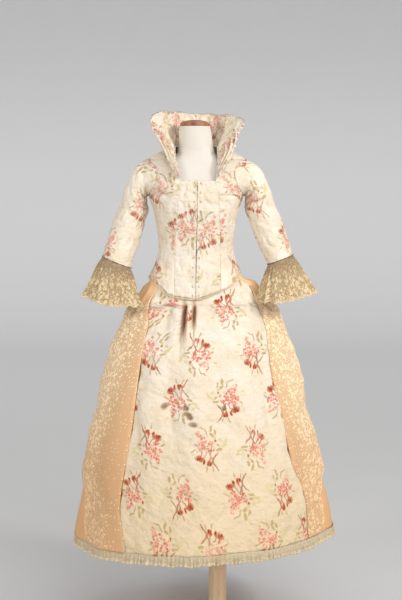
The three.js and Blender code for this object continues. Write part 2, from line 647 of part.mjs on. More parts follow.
dressForm();
bodice();
hooks();
collarHalf('collar_right', 'right');
collarHalf('collar_left', 'left');
sleeve('right');
sleeve('left');
skirt();
lacePanel('right');
lacePanel('left');
hemFlounce('hem_flounce_front', -36, 51, 14);
hemFlounce('hem_flounce_left', 51, 120, 10);
hemFlounce('hem_flounce_right', -120, -36, 12);
hemFlounce('hem_flounce_back', 120, 240, 16);
sackPleat('sack_pleat_right', -1);
sackPleat('sack_pleat_left', 1);

export default group;
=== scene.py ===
"""A robe a la francaise on a limbless dress form: brocade bodice, sleeves and front, silk and lace sides.

The frame's origin is on the floor under the pole, x to the wearer's left, y to the back, z up. Sizes are in
millimetres and angles in degrees, 0 at the front and positive to the wearer's left, until a mesh is made in
metres.
"""

import math

import bmesh
import bpy
import numpy as np
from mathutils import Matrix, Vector


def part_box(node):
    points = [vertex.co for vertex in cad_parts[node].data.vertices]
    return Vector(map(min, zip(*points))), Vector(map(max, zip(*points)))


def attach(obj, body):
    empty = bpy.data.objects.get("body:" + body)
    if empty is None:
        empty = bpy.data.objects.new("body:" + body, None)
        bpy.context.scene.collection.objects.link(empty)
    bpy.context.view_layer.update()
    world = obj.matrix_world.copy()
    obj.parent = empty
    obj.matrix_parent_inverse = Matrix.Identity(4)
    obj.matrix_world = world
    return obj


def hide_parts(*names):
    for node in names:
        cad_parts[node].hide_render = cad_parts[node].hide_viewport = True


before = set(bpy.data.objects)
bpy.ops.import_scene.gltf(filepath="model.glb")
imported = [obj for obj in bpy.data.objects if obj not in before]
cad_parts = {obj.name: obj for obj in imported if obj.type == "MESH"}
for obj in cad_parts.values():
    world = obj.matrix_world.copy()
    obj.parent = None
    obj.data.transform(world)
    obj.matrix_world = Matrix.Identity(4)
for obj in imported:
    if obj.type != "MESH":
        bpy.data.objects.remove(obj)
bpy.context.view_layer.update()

# ---------------------------------------- sizes

MM = 0.001
TORSO_X = -75.0
SQUARENESS = 2.4
ARMHOLE_Z, ARMHOLE_HALF_HEIGHT, ARMHOLE_HALF_ANGLE = 1551.5, 61.5, 28.0
NECKLINE_Z = 1539.0
SHOULDER_NECK_Z = 1660.0
SEAM_GAP = 0.12
UNDER_INSET = 6.5
HEM_Z, HEM_X, HEM_SLOPE, HEM_DEPTH = 338.0, -47.0, 0.043, 33.0
CLOTH, LACE_WALL, COLLAR_WALL = 1.3, 0.7, 2.6
LACE_LIFT = 3.2
PITCH, RISE = 180.0, 160.0  # the brocade's repeat, across and up
TORSO_MIDDLE, SKIRT_MIDDLE = (TORSO_X, 0, 1400), (-55.0, 0, 500)

# Height, half width, front depth, back depth
BODICE = [
    (1120, 193, 134, 142), (1160, 180, 128, 130), (1201, 167, 122, 118), (1246, 147, 112, 100),
    (1274, 136, 106, 92),
    (1302, 130, 103, 88), (1330, 130, 104, 88), (1385, 137, 112, 92), (1440, 147, 124, 98),
    (1480, 161, 122, 103),
    (1520, 167, 112, 104), (1560, 170, 98, 100), (1590, 171, 84, 94), (1613, 168, 72, 86),
    (1630, 145, 62, 80), (1650, 100, 52, 72), (1662, 72, 47, 65), (1680, 58, 44, 60)]
# Height, middle, half width, front depth, back depth
SKIRT = [
    (300, -47, 452, 446, 466), (338, -47, 447, 436, 455), (431, -46, 430, 405, 435),
    (545, -53, 405, 365, 408),
    (659, -58, 380, 325, 378), (771, -61, 351, 283, 345), (884, -64.5, 319, 240, 310),
    (995, -60, 294, 196, 266),
    (1051, -54.5, 277, 172, 240), (1107, -53.5, 252, 150, 210), (1160, -56.5, 208, 134, 165),
    (1212, -62, 176, 122, 130), (1290, -75, 140, 110, 100)]
# Bearing round the torso, height of the bodice's lower edge
LOWER_EDGE = [
    (-180, 1190), (-120, 1200), (-90, 1212), (-67, 1202), (-55, 1187), (-50, 1180), (-40, 1158),
    (-18, 1145), (0, 1142),
    (15.5, 1151), (34, 1169), (52.5, 1191), (66, 1220), (90, 1230), (120, 1215), (180, 1190)]
# Height, distance from the torso's middle
CLOSURE = [(1100, -1), (1145, -1), (1539, 5), (1700, 5)]
FRONT_SEAM = {
    "right": [(1100, -74), (1158, -74), (1377, -71), (1480, -60), (1539, -49), (1560, -54), (1590, -61),
              (1625, -69), (1662, -72)],
    "left": [(1100, 85), (1169, 85), (1377, 82), (1480, 76), (1539, 67), (1560, 68), (1590, 70), (1625, 72),
             (1662, 72)]}
# Height, angle round the skirt
PANEL_EDGE = {
    "right": [(300, -36), (338, -36), (470, -41), (715, -39), (1040, -41), (1150, -50), (1290, -54)],
    "left": [(300, 51), (338, 51), (510, 54), (600, 50), (1100, 50), (1185, 58), (1290, 60)]}
LACE_EDGE = {
    "right": [(300, -64), (338, -64), (400, -67), (488, -74), (560, -88), (1290, -88)],
    "left": [(300, 65), (338, 65), (480, 69), (650, 86), (1290, 88)]}
# Height, distance from the silk at the free edge
LACE_STAND_OFF = {
    "right": [(300, 4), (545, 10), (884, 12), (1100, 4), (1290, 0)],
    "left": [(300, 4), (545, 16), (884, 34), (1060, 14), (1180, 0), (1290, 0)]}
# Underarm distance and height, top distance and height, half depth, place from front to back
SLEEVE_RINGS = {
    "right": [
        (169, 1486, 186, 1606, 57, 4), (168.5, 1474, 215, 1580, 58, 3), (167, 1459, 243, 1525, 58, 2),
        (163, 1440, 264, 1455, 57, 0), (176, 1388, 288, 1398, 56, -8), (194, 1332, 303, 1345, 54, -22),
        (210, 1290, 312, 1312, 52, -40), (224, 1240, 320, 1281, 50, -60)],
    "left": [
        (169, 1486, 190, 1606, 57, 4), (168.5, 1474, 223, 1580, 58, 3), (167, 1459, 252, 1525, 58, 2),
        (168, 1440, 274, 1455, 57, 0), (186, 1388, 299, 1398, 56, -8), (209, 1332, 316, 1345, 54, -22),
        (229, 1290, 325, 1315, 52, -40), (246, 1254, 331, 1287, 50, -60)]}
CUFF_LACE = {"right": (185, 1122, 378, 1150, 62, -105), "left": (212, 1136, 399, 1165, 62, -107)}
# Points of the rim from the neckline's corner to the centre back, from the torso's middle
COLLAR_RIM = {
    "right": [(-60, -116, 1556), (-84, -106, 1596), (-112, -90, 1650), (-140, -72, 1712), (-150, -56, 1748),
              (-138, -12, 1769), (-98, 52, 1778), (-50, 98, 1776), (-1, 114, 1774)],
    "left": [(76, -112, 1556), (98, -102, 1592), (120, -90, 1636), (140, -74, 1690), (164, -44, 1733),
             (143, 8, 1757), (92, 62, 1766), (46, 98, 1771), (1, 114, 1774)]}
# Height, half width, depth behind the torso's middle
SACK = [
    (338, 330, 470), (431, 318, 449), (545, 300, 422), (659, 280, 392), (771, 258, 359), (884, 232, 324),
    (1000, 205, 280), (1107, 172, 228), (1160, 148, 192), (1220, 124, 160), (1300, 106, 142),
    (1400, 101, 127), (1500, 95, 116), (1550, 90, 112), (1600, 82, 104), (1648, 66, 85)]
# Waist pleats: depth, angle, half width, and the heights between which each comes in
PLEATS = [
    (-34, -14, 1.5, 930, 1070), (-30, -6.5, 1.3, 1005, 1095), (-8, -28, 5, 940, 1080),
    (6, -10.2, 1.6, 990, 1080), (-5, 3, 3.5, 1040, 1110), (5, -18, 2.4, 940, 1060)]
# Creases of the skirt's front: depth, angle, half width, height, half height
SKIRT_CREASES = [
    (-3.0, -34, 3.5, 1000, 170), (-2.6, 12, 3.0, 1090, 90), (-2.4, 27, 3.0, 1085, 80),
    (3.0, -22, 3.4, 1080, 110), (13, 32, 6.5, 1136, 24), (-9, 21, 2.2, 1125, 30), (-8, 43, 2.4, 1140, 34)]
# Armpit folds: share of the sleeve's deepest fold, place along the sleeve
ARMPIT_FOLDS = [(-1.0, 0.29), (0.6, 0.345), (-0.7, 0.40)]
ARMPIT_DEPTH = {"right": 7.0, "left": 11.0}


# ---------------------------------------- small mathematics

def mix(a, b, t):
    """From a at t = 0 to b at t = 1, in a straight line."""
    return a + (b - a) * t


def smoothstep(low, high, x):
    """0 at low, 1 at high, and three t squared less two t cubed between."""
    t = np.clip((x - low) / (high - low), 0, 1)
    return t * t * (3 - 2 * t)


def bell(x, centre, width):
    """A hump of height 1: e to the minus square of the distance from the centre over the width."""
    return np.exp(-(((x - centre) / width) ** 2))


def smooth(rows):
    """Rows of (place, values...) as a function of place: a cubic Hermite curve whose tangents are harmonic
    means of the slopes on each side, so it never overshoots."""
    table = np.array(rows, float)
    places, values = table[:, 0], table[:, 1:]
    slopes = np.diff(values, axis=0) / np.diff(places)[:, None]
    before, after = slopes[:-1], slopes[1:]
    product = before * after
    total = np.where(before + after == 0, 1, before + after)
    tangents = np.vstack([slopes[:1], np.where(product <= 0, 0, 2 * product / total), slopes[-1:]])

    def at(place):
        x = np.clip(np.asarray(place, float), places[0], places[-1])
        i = np.clip(np.searchsorted(places, x, side="right") - 1, 0, len(places) - 2)
        span = (places[i + 1] - places[i])[..., None]
        t = (x - places[i])[..., None] / span
        start, end = tangents[i] * span, tangents[i + 1] * span
        rise = values[i + 1] - values[i]
        out = values[i] + t * (start + t * (3 * rise - 2 * start - end + t * (start + end - 2 * rise)))
        return out[..., 0] if values.shape[1] == 1 else np.moveaxis(out, -1, 0)
    return at


def through(points, t):
    """A Catmull-Rom curve through equally spaced points (first axis), at each t from 0 to 1."""
    points = np.asarray(points, float)
    x = np.clip(t, 0, 1) * (len(points) - 1)
    i = np.minimum(x.astype(int), len(points) - 2)
    f = (x - i).reshape(x.shape + (1,) * (points.ndim - 1))
    p, q = points[np.maximum(i - 1, 0)], points[i]
    r, s = points[i + 1], points[np.minimum(i + 2, len(points) - 1)]
    return q + 0.5 * f * (r - p + f * (2 * p - 5 * q + 4 * r - s + f * (3 * (q - r) + s - p)))


def stack(x, y, z):
    """Coordinates as one array of points."""
    return np.stack(np.broadcast_arrays(x, y, z), axis=-1)


def rumple(a, b, size, seed):
    """Crossing creases, 0 to about 1: sharp ridges, one minus the size of a sine and then cubed, in six
    directions, each bent by a slow wave and kept to patches."""
    total = 0
    for i in range(6):
        turn = seed + 2.4 * i
        along = (a * math.cos(turn) + b * math.sin(turn)) / size
        across = (b * math.cos(turn) - a * math.sin(turn)) / size
        patch = smoothstep(0.05, 0.8, np.sin(1.3 * across + 2 * i + seed) * np.sin(0.7 * along + i))
        wave = np.sin((1 + 0.15 * i) * along + 0.8 * np.sin(0.9 * across + i))
        total = total + patch * (1 - np.abs(wave)) ** 3
    return total


# ---------------------------------------- the gown's surfaces

bodice_section, skirt_section, sack_section = smooth(BODICE), smooth(SKIRT), smooth(SACK)
lower_edge, closure = smooth(LOWER_EDGE), smooth(CLOSURE)
front_seam = {side: smooth(rows) for side, rows in FRONT_SEAM.items()}
panel_edge = {side: smooth(rows) for side, rows in PANEL_EDGE.items()}
lace_edge = {side: smooth(rows) for side, rows in LACE_EDGE.items()}
lace_stand_off = {side: smooth(rows) for side, rows in LACE_STAND_OFF.items()}


def superellipse(half_width, front, back, angle, power):
    """The point at an angle from the front, with |x/w|^p + |y/d|^p = 1, d being the front or the back
    depth."""
    s, c = np.sin(np.radians(angle)), np.cos(np.radians(angle))
    depth = np.where(c > 0, front, back)
    r = (np.abs(s / half_width) ** power + np.abs(c / depth) ** power) ** (-1 / power)
    return r * s, -r * c


def on_bodice(angle, z, out=0.0):
    """The bodice: a superellipse at each height, its sizes taken from BODICE and grown by out."""
    half_width, front, back = bodice_section(z)
    x, y = superellipse(half_width + out, front + out, back + out, angle, SQUARENESS)
    return stack(TORSO_X + x, y, z)


def bodice_angle(distance, z):
    """The angle at which the bodice's front is a distance from the torso's middle."""
    half_width, front, _ = bodice_section(z)
    share = np.minimum(np.abs(distance) / half_width, 1)
    y = front * (1 - share ** SQUARENESS) ** (1 / SQUARENESS)
    return np.sign(distance) * np.degrees(np.arctan2(np.abs(distance), y))


def hem_height(x):
    """The hem slopes in a straight line from one side to the other."""
    return HEM_Z + HEM_SLOPE * (x - HEM_X)


def skirt_fold(angle, z):
    """The pleats of PLEATS, each a hump across and a smooth step down, small gathers all round below the
    waist, and slow cosine waves that grow towards the hem."""
    pleats = sum(depth * bell(angle, place, width) * smoothstep(low, high, z)
                 for depth, place, width, low, high in PLEATS)
    waves = 5 * np.cos(np.radians(9 * angle + 40)) + 3 * np.cos(np.radians(14 * angle - 25))
    gathers = 1.6 * np.cos(np.radians(31 * angle + 60 * np.sin(np.radians(3 * angle))))
    return pleats + waves * smoothstep(900, HEM_Z, z) + gathers * smoothstep(880, 1150, z)


def on_skirt(angle, z, out=0.0):
    """An ellipse at each height, pushed out by the folds; near the bodice's lower edge it blends into the
    bodice's surface, inset, and stays under it."""
    middle, half_width, front, back = skirt_section(z)
    push = out + skirt_fold(angle, z)
    s, c = np.sin(np.radians(angle)), np.cos(np.radians(angle))
    x, y = middle + (half_width + push) * s, -(np.where(c > 0, front, back) + push) * c
    bearing = np.degrees(np.arctan2(x - TORSO_X, -y))
    edge = lower_edge(bearing)
    blend_height = 18 + 44 * bell(bearing, -48, 15)
    tucked = smoothstep(edge - 18 - blend_height, edge - 18, z)[..., None]
    return mix(stack(x, y, z), on_bodice(bearing, z, -UNDER_INSET), tucked)


def arm_ring(ring, turn, sign, swell=1.0):
    """An ellipse in the plane through a ring's underarm and top points, turn being 0 at the top, 90 in
    front."""
    under_out, under_z, top_out, top_z, depth, y = ring
    c, s = np.cos(np.radians(turn)) * swell, np.sin(np.radians(turn)) * swell
    out = (top_out + under_out) / 2 + (top_out - under_out) / 2 * c
    return stack(TORSO_X + sign * out, y - depth * s, (top_z + under_z) / 2 + (top_z - under_z) / 2 * c)


def on_sleeve(side, turn, along):
    """Rings from the armhole to the cuff, joined by a Catmull-Rom curve at each turn. turn and along are one
    row and one column of values; soft creases cross the front of the armhole and the inside of the elbow."""
    sign = 1 if side == "left" else -1
    clearance, raised = 1.03, 1.5
    bearing = 90 - ARMHOLE_HALF_ANGLE * clearance * np.sin(np.radians(turn))
    height = ARMHOLE_Z + ARMHOLE_HALF_HEIGHT * clearance * np.cos(np.radians(turn))
    head = on_bodice(sign * bearing, height, raised)
    rings = np.stack([head] + [arm_ring(ring, turn, sign) for ring in SLEEVE_RINGS[side]])
    points = through(rings, along)
    outward = points - points.mean(axis=1, keepdims=True)
    outward /= np.linalg.norm(outward, axis=-1, keepdims=True)
    a, t = along[:, None], turn[None, :]
    slant = 0.0008 * (150 - t)
    crease = sum(share * ARMPIT_DEPTH[side] * bell(a, place + slant, 0.026) for share, place in ARMPIT_FOLDS)
    crease = crease * bell(t, 118, 52) - 2.6 * bell(a, 0.50, 0.022) * bell(t, 100, 60)
    crease = crease - (2.2 * bell(a, 0.60, 0.02) + 1.8 * bell(a, 0.66, 0.018)) * bell(np.abs(t), 180, 70)
    ends = smoothstep(0.03, 0.12, a) * smoothstep(1, 0.9, a)
    crease = crease - 4.6 * rumple(t * 0.95, a * 420, 22, 0.4) * ends
    return points + outward * crease[..., None]


# ---------------------------------------- meshes

def lengths(points, axis):
    """The distance walked from point to point along an axis of the grid."""
    steps = np.linalg.norm(np.diff(points, axis=axis), axis=-1)
    shape = list(steps.shape)
    shape[axis] = 1
    return np.concatenate([np.zeros(shape), np.cumsum(steps, axis=axis)], axis=axis)


def cloth_uv(points, anchor, site):
    """Distances over the cloth in metres: u along each row and v up the middle column, moved so that the
    anchor point (x, z) falls on a site of the woven pattern."""
    u = lengths(points, 1)
    middle = points.shape[1] // 2
    v = lengths(points[:, middle:middle + 1], 0)
    u = u - u[:, middle:middle + 1] + np.zeros_like(v)
    v = v + np.zeros_like(u)
    behind = np.where(points[..., 1] < 60, 0, 400)
    gap = np.hypot(points[..., 0] - anchor[0], points[..., 2] - anchor[1]) + behind
    row, column = np.unravel_index(np.argmin(gap), gap.shape)
    u = u - u[row, column] + site[0]
    v = v - v[row, column] + site[1]
    return np.stack([u, v], axis=-1) * MM


SPRAY = {"buds up": (0, 0), "buds down": (PITCH, 0), "mirrored up": (PITCH / 2, RISE),
         "mirrored down": (PITCH * 1.5, RISE)}


def mesh_piece(name, points, material, uv=None, ring=False, wall=0.0, outwards=1, capped=False):
    """A grid of points (rows, columns, xyz, mm) as a smooth mesh in metres, with the uv map called cloth. A
    capped ring has a face on its first and last row. Solidify gives an open one its wall on the inner
    side."""
    rows, columns = points.shape[:2]
    uv = np.zeros((rows, columns, 2)) if uv is None else uv
    across = columns if ring else columns - 1
    j, i = np.meshgrid(np.arange(rows - 1), np.arange(across), indexing="ij")
    k = (i + 1) % columns
    quads = np.stack([j * columns + i, j * columns + k, (j + 1) * columns + k, (j + 1) * columns + i], -1)
    quads = quads.reshape(-1, 4)[:, ::outwards]
    corner_uv = uv.reshape(-1, 2)[quads.ravel()].copy()
    if ring:
        round_trip = (uv[0, -1] - uv[0, 0]) * columns / (columns - 1)
        wraps = (quads % columns == 0) & (i == columns - 1).reshape(-1, 1)
        corner_uv[wraps.ravel()] += round_trip
    faces = quads.tolist()
    if capped:
        first = np.arange(columns)
        last = first + (rows - 1) * columns
        faces += [first[::-outwards].tolist(), last[::outwards].tolist()]
        corner_uv = np.concatenate([corner_uv, np.zeros((2 * columns, 2))])
    mesh = bpy.data.meshes.new(name)
    mesh.from_pydata((points.reshape(-1, 3) * MM).tolist(), [], faces)
    layer = mesh.uv_layers.new(name="cloth")
    layer.data.foreach_set("uv", corner_uv.ravel().astype(np.float32))
    mesh.polygons.foreach_set("use_smooth", np.ones(len(faces), bool))
    mesh.materials.append(material)
    mesh.update()
    piece = bpy.data.objects.new(name, mesh)
    bpy.context.scene.collection.objects.link(piece)
    if wall:
        solidify = piece.modifiers.new("wall", "SOLIDIFY")
        solidify.thickness = wall * MM
        solidify.offset = -1
    return piece


def settle(piece, slot, *nodes):
    """The piece rides on the one body and stands in for its nodes; its slot is not used."""
    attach(piece, "root")
    if nodes:
        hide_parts(*nodes)
    return piece


def declare(points, ring=False):
    """Works out the flat cut of a sheet: its longest row, its longest column and its own area, and keeps none
    of them.
    """
    grid = np.concatenate([points, points[:, :1]], axis=1) if ring else points
    width, length = lengths(grid, 1)[:, -1].max() * MM, lengths(grid, 0)[-1].max() * MM
    a, b = grid[1:, 1:] - grid[:-1, :-1], grid[1:, :-1] - grid[:-1, 1:]
    area = np.linalg.norm(np.cross(a, b), axis=-1).sum() / 2 * MM * MM


def facing(points, middle):
    """1 where the grid's faces point away from its middle, -1 where they point to it. The middle is one
    point, or one for each row."""
    a, b = points[1:, 1:] - points[:-1, :-1], points[1:, :-1] - points[:-1, 1:]
    middles = np.broadcast_to(np.reshape(middle, (-1, 1, 3)), (len(points), 1, 3))
    away = (points[1:, 1:] + points[:-1, :-1]) / 2 - (middles[1:] + middles[:-1]) / 2
    return 1 if (np.cross(a, b) * away).sum() > 0 else -1


# ---------------------------------------- materials

class Value:
    """A shader socket whose sums are written as Python: each operator adds one Math node."""

    def __init__(self, finish, socket):
        self.finish, self.socket = finish, socket

    def math(self, operation, *others, first=None):
        """One Math node, with this value or another one first."""
        inputs = dict(enumerate((self if first is None else first, *others)))
        return self.finish.node("ShaderNodeMath", {"operation": operation}, inputs)

    def __add__(self, other):
        return self.math("ADD", other)

    def __sub__(self, other):
        return self.math("SUBTRACT", other)

    def __rsub__(self, other):
        return self.math("SUBTRACT", self, first=other)

    def __mul__(self, other):
        return self.math("MULTIPLY", other)

    def __truediv__(self, other):
        return self.math("DIVIDE", other)

    def __rtruediv__(self, other):
        return self.math("DIVIDE", self, first=other)

    __radd__, __rmul__ = __add__, __mul__

    def floor(self):
        return self.math("FLOOR")

    def most(self, other):
        return self.math("MAXIMUM", other)

    def least(self, other):
        return self.math("MINIMUM", other)

    def sine(self):
        return self.math("SINE")

    def step(self, low, high):
        """0 below low, 1 above high (or the reverse when low is greater), smooth between."""
        ends = {1: low, 2: high, 3: 0.0, 4: 1.0} if low < high else {1: high, 2: low, 3: 1.0, 4: 0.0}
        ends[0] = self
        return self.finish.node("ShaderNodeMapRange", {"interpolation_type": "SMOOTHSTEP"}, ends)


class Finish:
    """A material, with one method that adds any node."""

    def __init__(self, name):
        self.material = bpy.data.materials.new(name)
        self.material.use_nodes = True
        self.tree = self.material.node_tree
        self.shader = self.tree.nodes["Principled BSDF"]

    def node(self, kind, settings=None, inputs=None, output=0):
        """Any node: its type, its settings, its sockets' values or links. Gives one output, or all for
        None."""
        node = self.tree.nodes.new(kind)
        for key, value in (settings or {}).items():
            setattr(node, key, value)
        for key, value in (inputs or {}).items():
            self.feed(node.inputs[key], value)
        if output is None:
            return [Value(self, socket) for socket in node.outputs]
        return Value(self, node.outputs[output])

    def feed(self, socket, value):
        """Links a Value to the socket, or sets a constant."""
        if isinstance(value, Value):
            self.tree.links.new(value.socket, socket)
        else:
            socket.default_value = value

    def set(self, **values):
        """Feeds the shader's sockets, an underscore standing for a space in a socket's name."""
        for key, value in values.items():
            self.feed(self.shader.inputs[key.replace("_", " ")], value)

    def split(self, vector, kind="XYZ"):
        return self.node("ShaderNodeSeparate" + kind, {}, {0: vector}, output=None)

    def join(self, x, y, z=0.0):
        return self.node("ShaderNodeCombineXYZ", {}, {0: x, 1: y, 2: z})

    def blend(self, factor, first, second):
        """The first colour at 0, the second at 1."""
        return self.node("ShaderNodeMix", {"data_type": "RGBA"}, {0: factor, 6: first, 7: second}, output=2)

    def noise(self, vector, scale, detail=2.0, output=0):
        return self.node("ShaderNodeTexNoise", {}, {"Vector": vector, "Scale": scale, "Detail": detail}, output)

    def cells(self, vector, scale, feature="F1", output="Distance", randomness=1.0):
        """Distance to the nearest of many scattered points, or to the edge between two."""
        inputs = {"Vector": vector, "Scale": scale, "Randomness": randomness}
        return self.node("ShaderNodeTexVoronoi", {"feature": feature}, inputs, output)

    def oval(self, vector, x, y, rx, ry, tilt=0.0):
        """Distance from an ellipse's middle in its own radii: 1 on its edge."""
        settings = {"vector_type": "TEXTURE"}
        inputs = {"Vector": vector, "Location": (x, y, 0), "Rotation": (0, 0, math.radians(tilt)),
                  "Scale": (rx, ry, 1)}
        placed = self.node("ShaderNodeMapping", settings, inputs)
        return self.node("ShaderNodeVectorMath", {"operation": "LENGTH"}, {0: placed}, "Value")

    def ovals(self, vector, shapes, soft=0.18):
        """1 inside any of the ellipses, 0 outside all."""
        nearest = self.oval(vector, *shapes[0])
        for shape in shapes[1:]:
            nearest = nearest.least(self.oval(vector, *shape))
        return nearest.step(1 + soft, 1 - soft)

    def bump(self, height, distance, strength=1.0):
        inputs = {"Strength": strength, "Distance": distance, "Height": height}
        self.set(Normal=self.node("ShaderNodeBump", {}, inputs))

    def cloth(self):
        """The cloth's own coordinates, in millimetres."""
        uv = self.node("ShaderNodeUVMap", {"uv_map": "cloth"})
        u, v = self.split(uv)[:2]
        return u * 1000.0, v * 1000.0

    def place(self):
        """The place in the gown's own frame, in metres."""
        return self.node("ShaderNodeTexCoord", {}, {}, "Object")

    def stain_plane(self):
        """The front seen flat: x and height in millimetres."""
        x, _, z = self.split(self.place())
        return self.join(x * 1000.0, z * 1000.0)


def colour(red, green, blue):
    """A colour given as 0 to 255 display values, made linear."""
    def linear(c):
        c = c / 255
        return c / 12.92 if c <= 0.04045 else ((c + 0.055) / 1.055) ** 2.4
    return (linear(red), linear(green), linear(blue), 1.0)


# One spray with its buds up, drawn in millimetres about its middle: x, y, half width, half height, tilt.
BUDS = [
    (-21, 30, 8.5, 11, 26), (-13, 36, 5, 10, 40), (-5, 43, 4.5, 10, 8), (15, 51, 9, 7.5, -14),
    (11, 45, 5, 8, 20), (36, -26, 4, 4.5, 0)]
BUD_HEARTS = [
    (-24, 34, 2.6, 7, 30), (-17, 33, 2.2, 7, 18), (-5, 46, 2.2, 6, 8), (18, 53, 2.4, 4.5, -30),
    (11, 49, 2, 5, 10)]
STEMS = [
    (34, 60, 2.4, 19, -30), (24, 40, 3.2, 15, -12), (17, 22, 2.8, 15, -22), (27, 35, 2.4, 19, 26),
    (38, 20, 2.0, 11, 40),
    (0, 22, 2.2, 12, 30), (19, 10, 2.2, 13, 4), (12, 38, 2.2, 12, 20), (-13, 18, 2.0, 10, 12)]
LEAVES = [
    (47, 4, 11, 4.2, -8), (23, -46, 4.6, 8, -40), (36, -54, 4, 10, -14), (21, -66, 4.4, 12, 10),
    (4, -56, 2.0, 14, -18),
    (-9, -68, 12, 2.0, 24), (4, 68, 2.2, 10, 18), (25, 66, 1.8, 9, -14), (-38, 6, 10, 2.4, -28),
    (-31, -14, 4.5, 3.4, 30), (-30, 28, 2.6, 8, 10), (44, -10, 6, 3, 30)]
PALE_LEAVES = [(62, -8, 12, 5.5, -20), (70, -20, 5, 10, 24), (54, -26, 9, 4.5, 30), (-48, -32, 7, 4, 20),
               (34, -36, 8, 5, 50), (-40, 18, 6, 4, 0)]
CLUSTERS = [
    (-14, 3, 14, 15, 0), (5, 0, 13, 14, 0), (22, 0, 10, 11, 0), (-9, -16, 15, 14, 0), (10, -18, 11, 12, 0),
    (-16, -33, 11, 14, 0), (-21, -50, 7, 11, -14), (26, -15, 7, 8, 0), (0, -34, 7, 8, 0), (-26, -8, 7, 9, 0)]


def woven_spray(finish, u, v):
    """The brocade's colours: sprays in a half-drop repeat, upright and turned by halves, mirrored in every
    second row. Returns the masks of buds, bud hearts, stems, leaves, pale leaves and clusters."""
    wobble = finish.noise(finish.join(u, v), 0.06, 3.0, output="Color")
    shift_x, shift_y = finish.split(wobble)[:2]
    u, v = u + (shift_x - 0.5) * 13.0, v + (shift_y - 0.5) * 13.0
    row = (v / RISE + 0.5).floor()
    pair = (row / 2.0).floor()
    odd = row - pair * 2.0
    across = u / PITCH - odd * 0.5
    column = (across + 0.5).floor()
    turned = column - pair
    turned = turned - (turned / 2.0).floor() * 2.0
    flip = 1.0 - turned * 2.0
    mirror = 1.0 - odd * 2.0
    spot = finish.join((across - column) * PITCH * flip * mirror, (v / RISE - row) * RISE * flip)
    shapes = (BUDS, BUD_HEARTS, STEMS, LEAVES, PALE_LEAVES, CLUSTERS)
    return [finish.ovals(spot, shape) for shape in shapes]


def brocade(name, stains=(), pleat_shade=(), fade=0.0):
    """Cream satin with coral and pink flower sprays, faint weft ribs and soft foxing; fade washes the pinks
    out."""
    finish = Finish(name)
    u, v = finish.cloth()
    flat = finish.join(u, v)
    buds, hearts, stems, leaves, pale, clusters = woven_spray(finish, u, v)
    florets = finish.cells(flat, 1 / 7.5)
    tint = finish.split(finish.cells(flat, 1 / 7.5, output="Color"), "Color")[0]
    dots = finish.cells(flat, 1 / 3.6, randomness=0.8)
    petals = clusters * florets.step(0.70, 0.46) * tint.step(0.02, 0.10)
    shade = finish.noise(flat, 0.012, 3.0)
    worn = finish.noise(flat, 0.05, 3.0)
    ground = finish.blend(shade.step(0.35, 0.7), colour(240, 228, 210), colour(233, 216, 191))
    ground = finish.blend(clusters * 0.4, ground, colour(248, 224, 204))
    height = finish.split(finish.place())[2]
    # Painted shade: the ground turns darker and yellower towards the hem, where the light falls off.
    ground = finish.blend(height.step(1.0, 0.3) * 0.95, ground, colour(225, 201, 163))
    ground = finish.blend(worn.step(0.60, 0.8) * 0.45, ground, colour(212, 184, 142))
    age = finish.noise(flat, 0.016, 1.0).step(0.28, 0.5) * 0.35 + 0.65 - fade
    paint = finish.blend(pale * 0.75, ground, colour(214, 198, 142))
    paint = finish.blend(leaves * 0.8, paint, finish.blend(worn, colour(182, 164, 96), colour(190, 152, 92)))
    petal = finish.blend(tint, colour(240, 172, 146), colour(214, 112, 88))
    petal = finish.blend(dots.step(0.46, 0.2) * tint.step(0.2, 0.5), petal, colour(200, 88, 58))
    paint = finish.blend(petals * age, paint, petal)
    stem = finish.blend(worn, colour(194, 122, 82), colour(156, 92, 56))
    paint = finish.blend(stems * 0.85 * age, paint, stem)
    bud = finish.blend(dots.step(0.4, 0.2), colour(204, 112, 74), colour(172, 82, 48))
    paint = finish.blend(buds * age, paint, bud)
    paint = finish.blend(hearts * age, paint, colour(140, 52, 28))
    # Painted shade: a brown tint in the deep folds of the two waist pleats.
    if pleat_shade:
        deep = finish.ovals(finish.stain_plane(), pleat_shade, 0.7)
        paint = finish.blend(deep * 0.75, paint, finish.blend(worn, colour(196, 138, 92), colour(150, 84, 50)))
    if stains:
        spots = finish.ovals(finish.stain_plane(), stains, 0.5)
        paint = finish.blend(spots * (0.45 + worn * 0.7), paint, colour(122, 84, 38))
    satin = (petals + buds + leaves).least(1.0)
    finish.set(Base_Color=paint, Roughness=0.50 - satin * 0.08 + worn * 0.12)
    finish.shader.inputs["Specular IOR Level"].default_value = 0.4
    ribs = (v * 5.2).sine() * 0.06 + finish.noise(finish.join(u * 0.3, v), 0.5, 3.0) * 0.6
    slubs = finish.noise(finish.join(u * 0.05, v * 1.5), 0.35, 2.0)
    rumples = finish.noise(finish.join(u * 0.8 + v * 0.5, v - u * 0.3), 0.035, 3.0)
    finish.bump(ribs + slubs * 0.5 + satin * 0.5 + shade * 4.0 + rumples * 6.0, 0.0019, 1.0)
    return finish.material


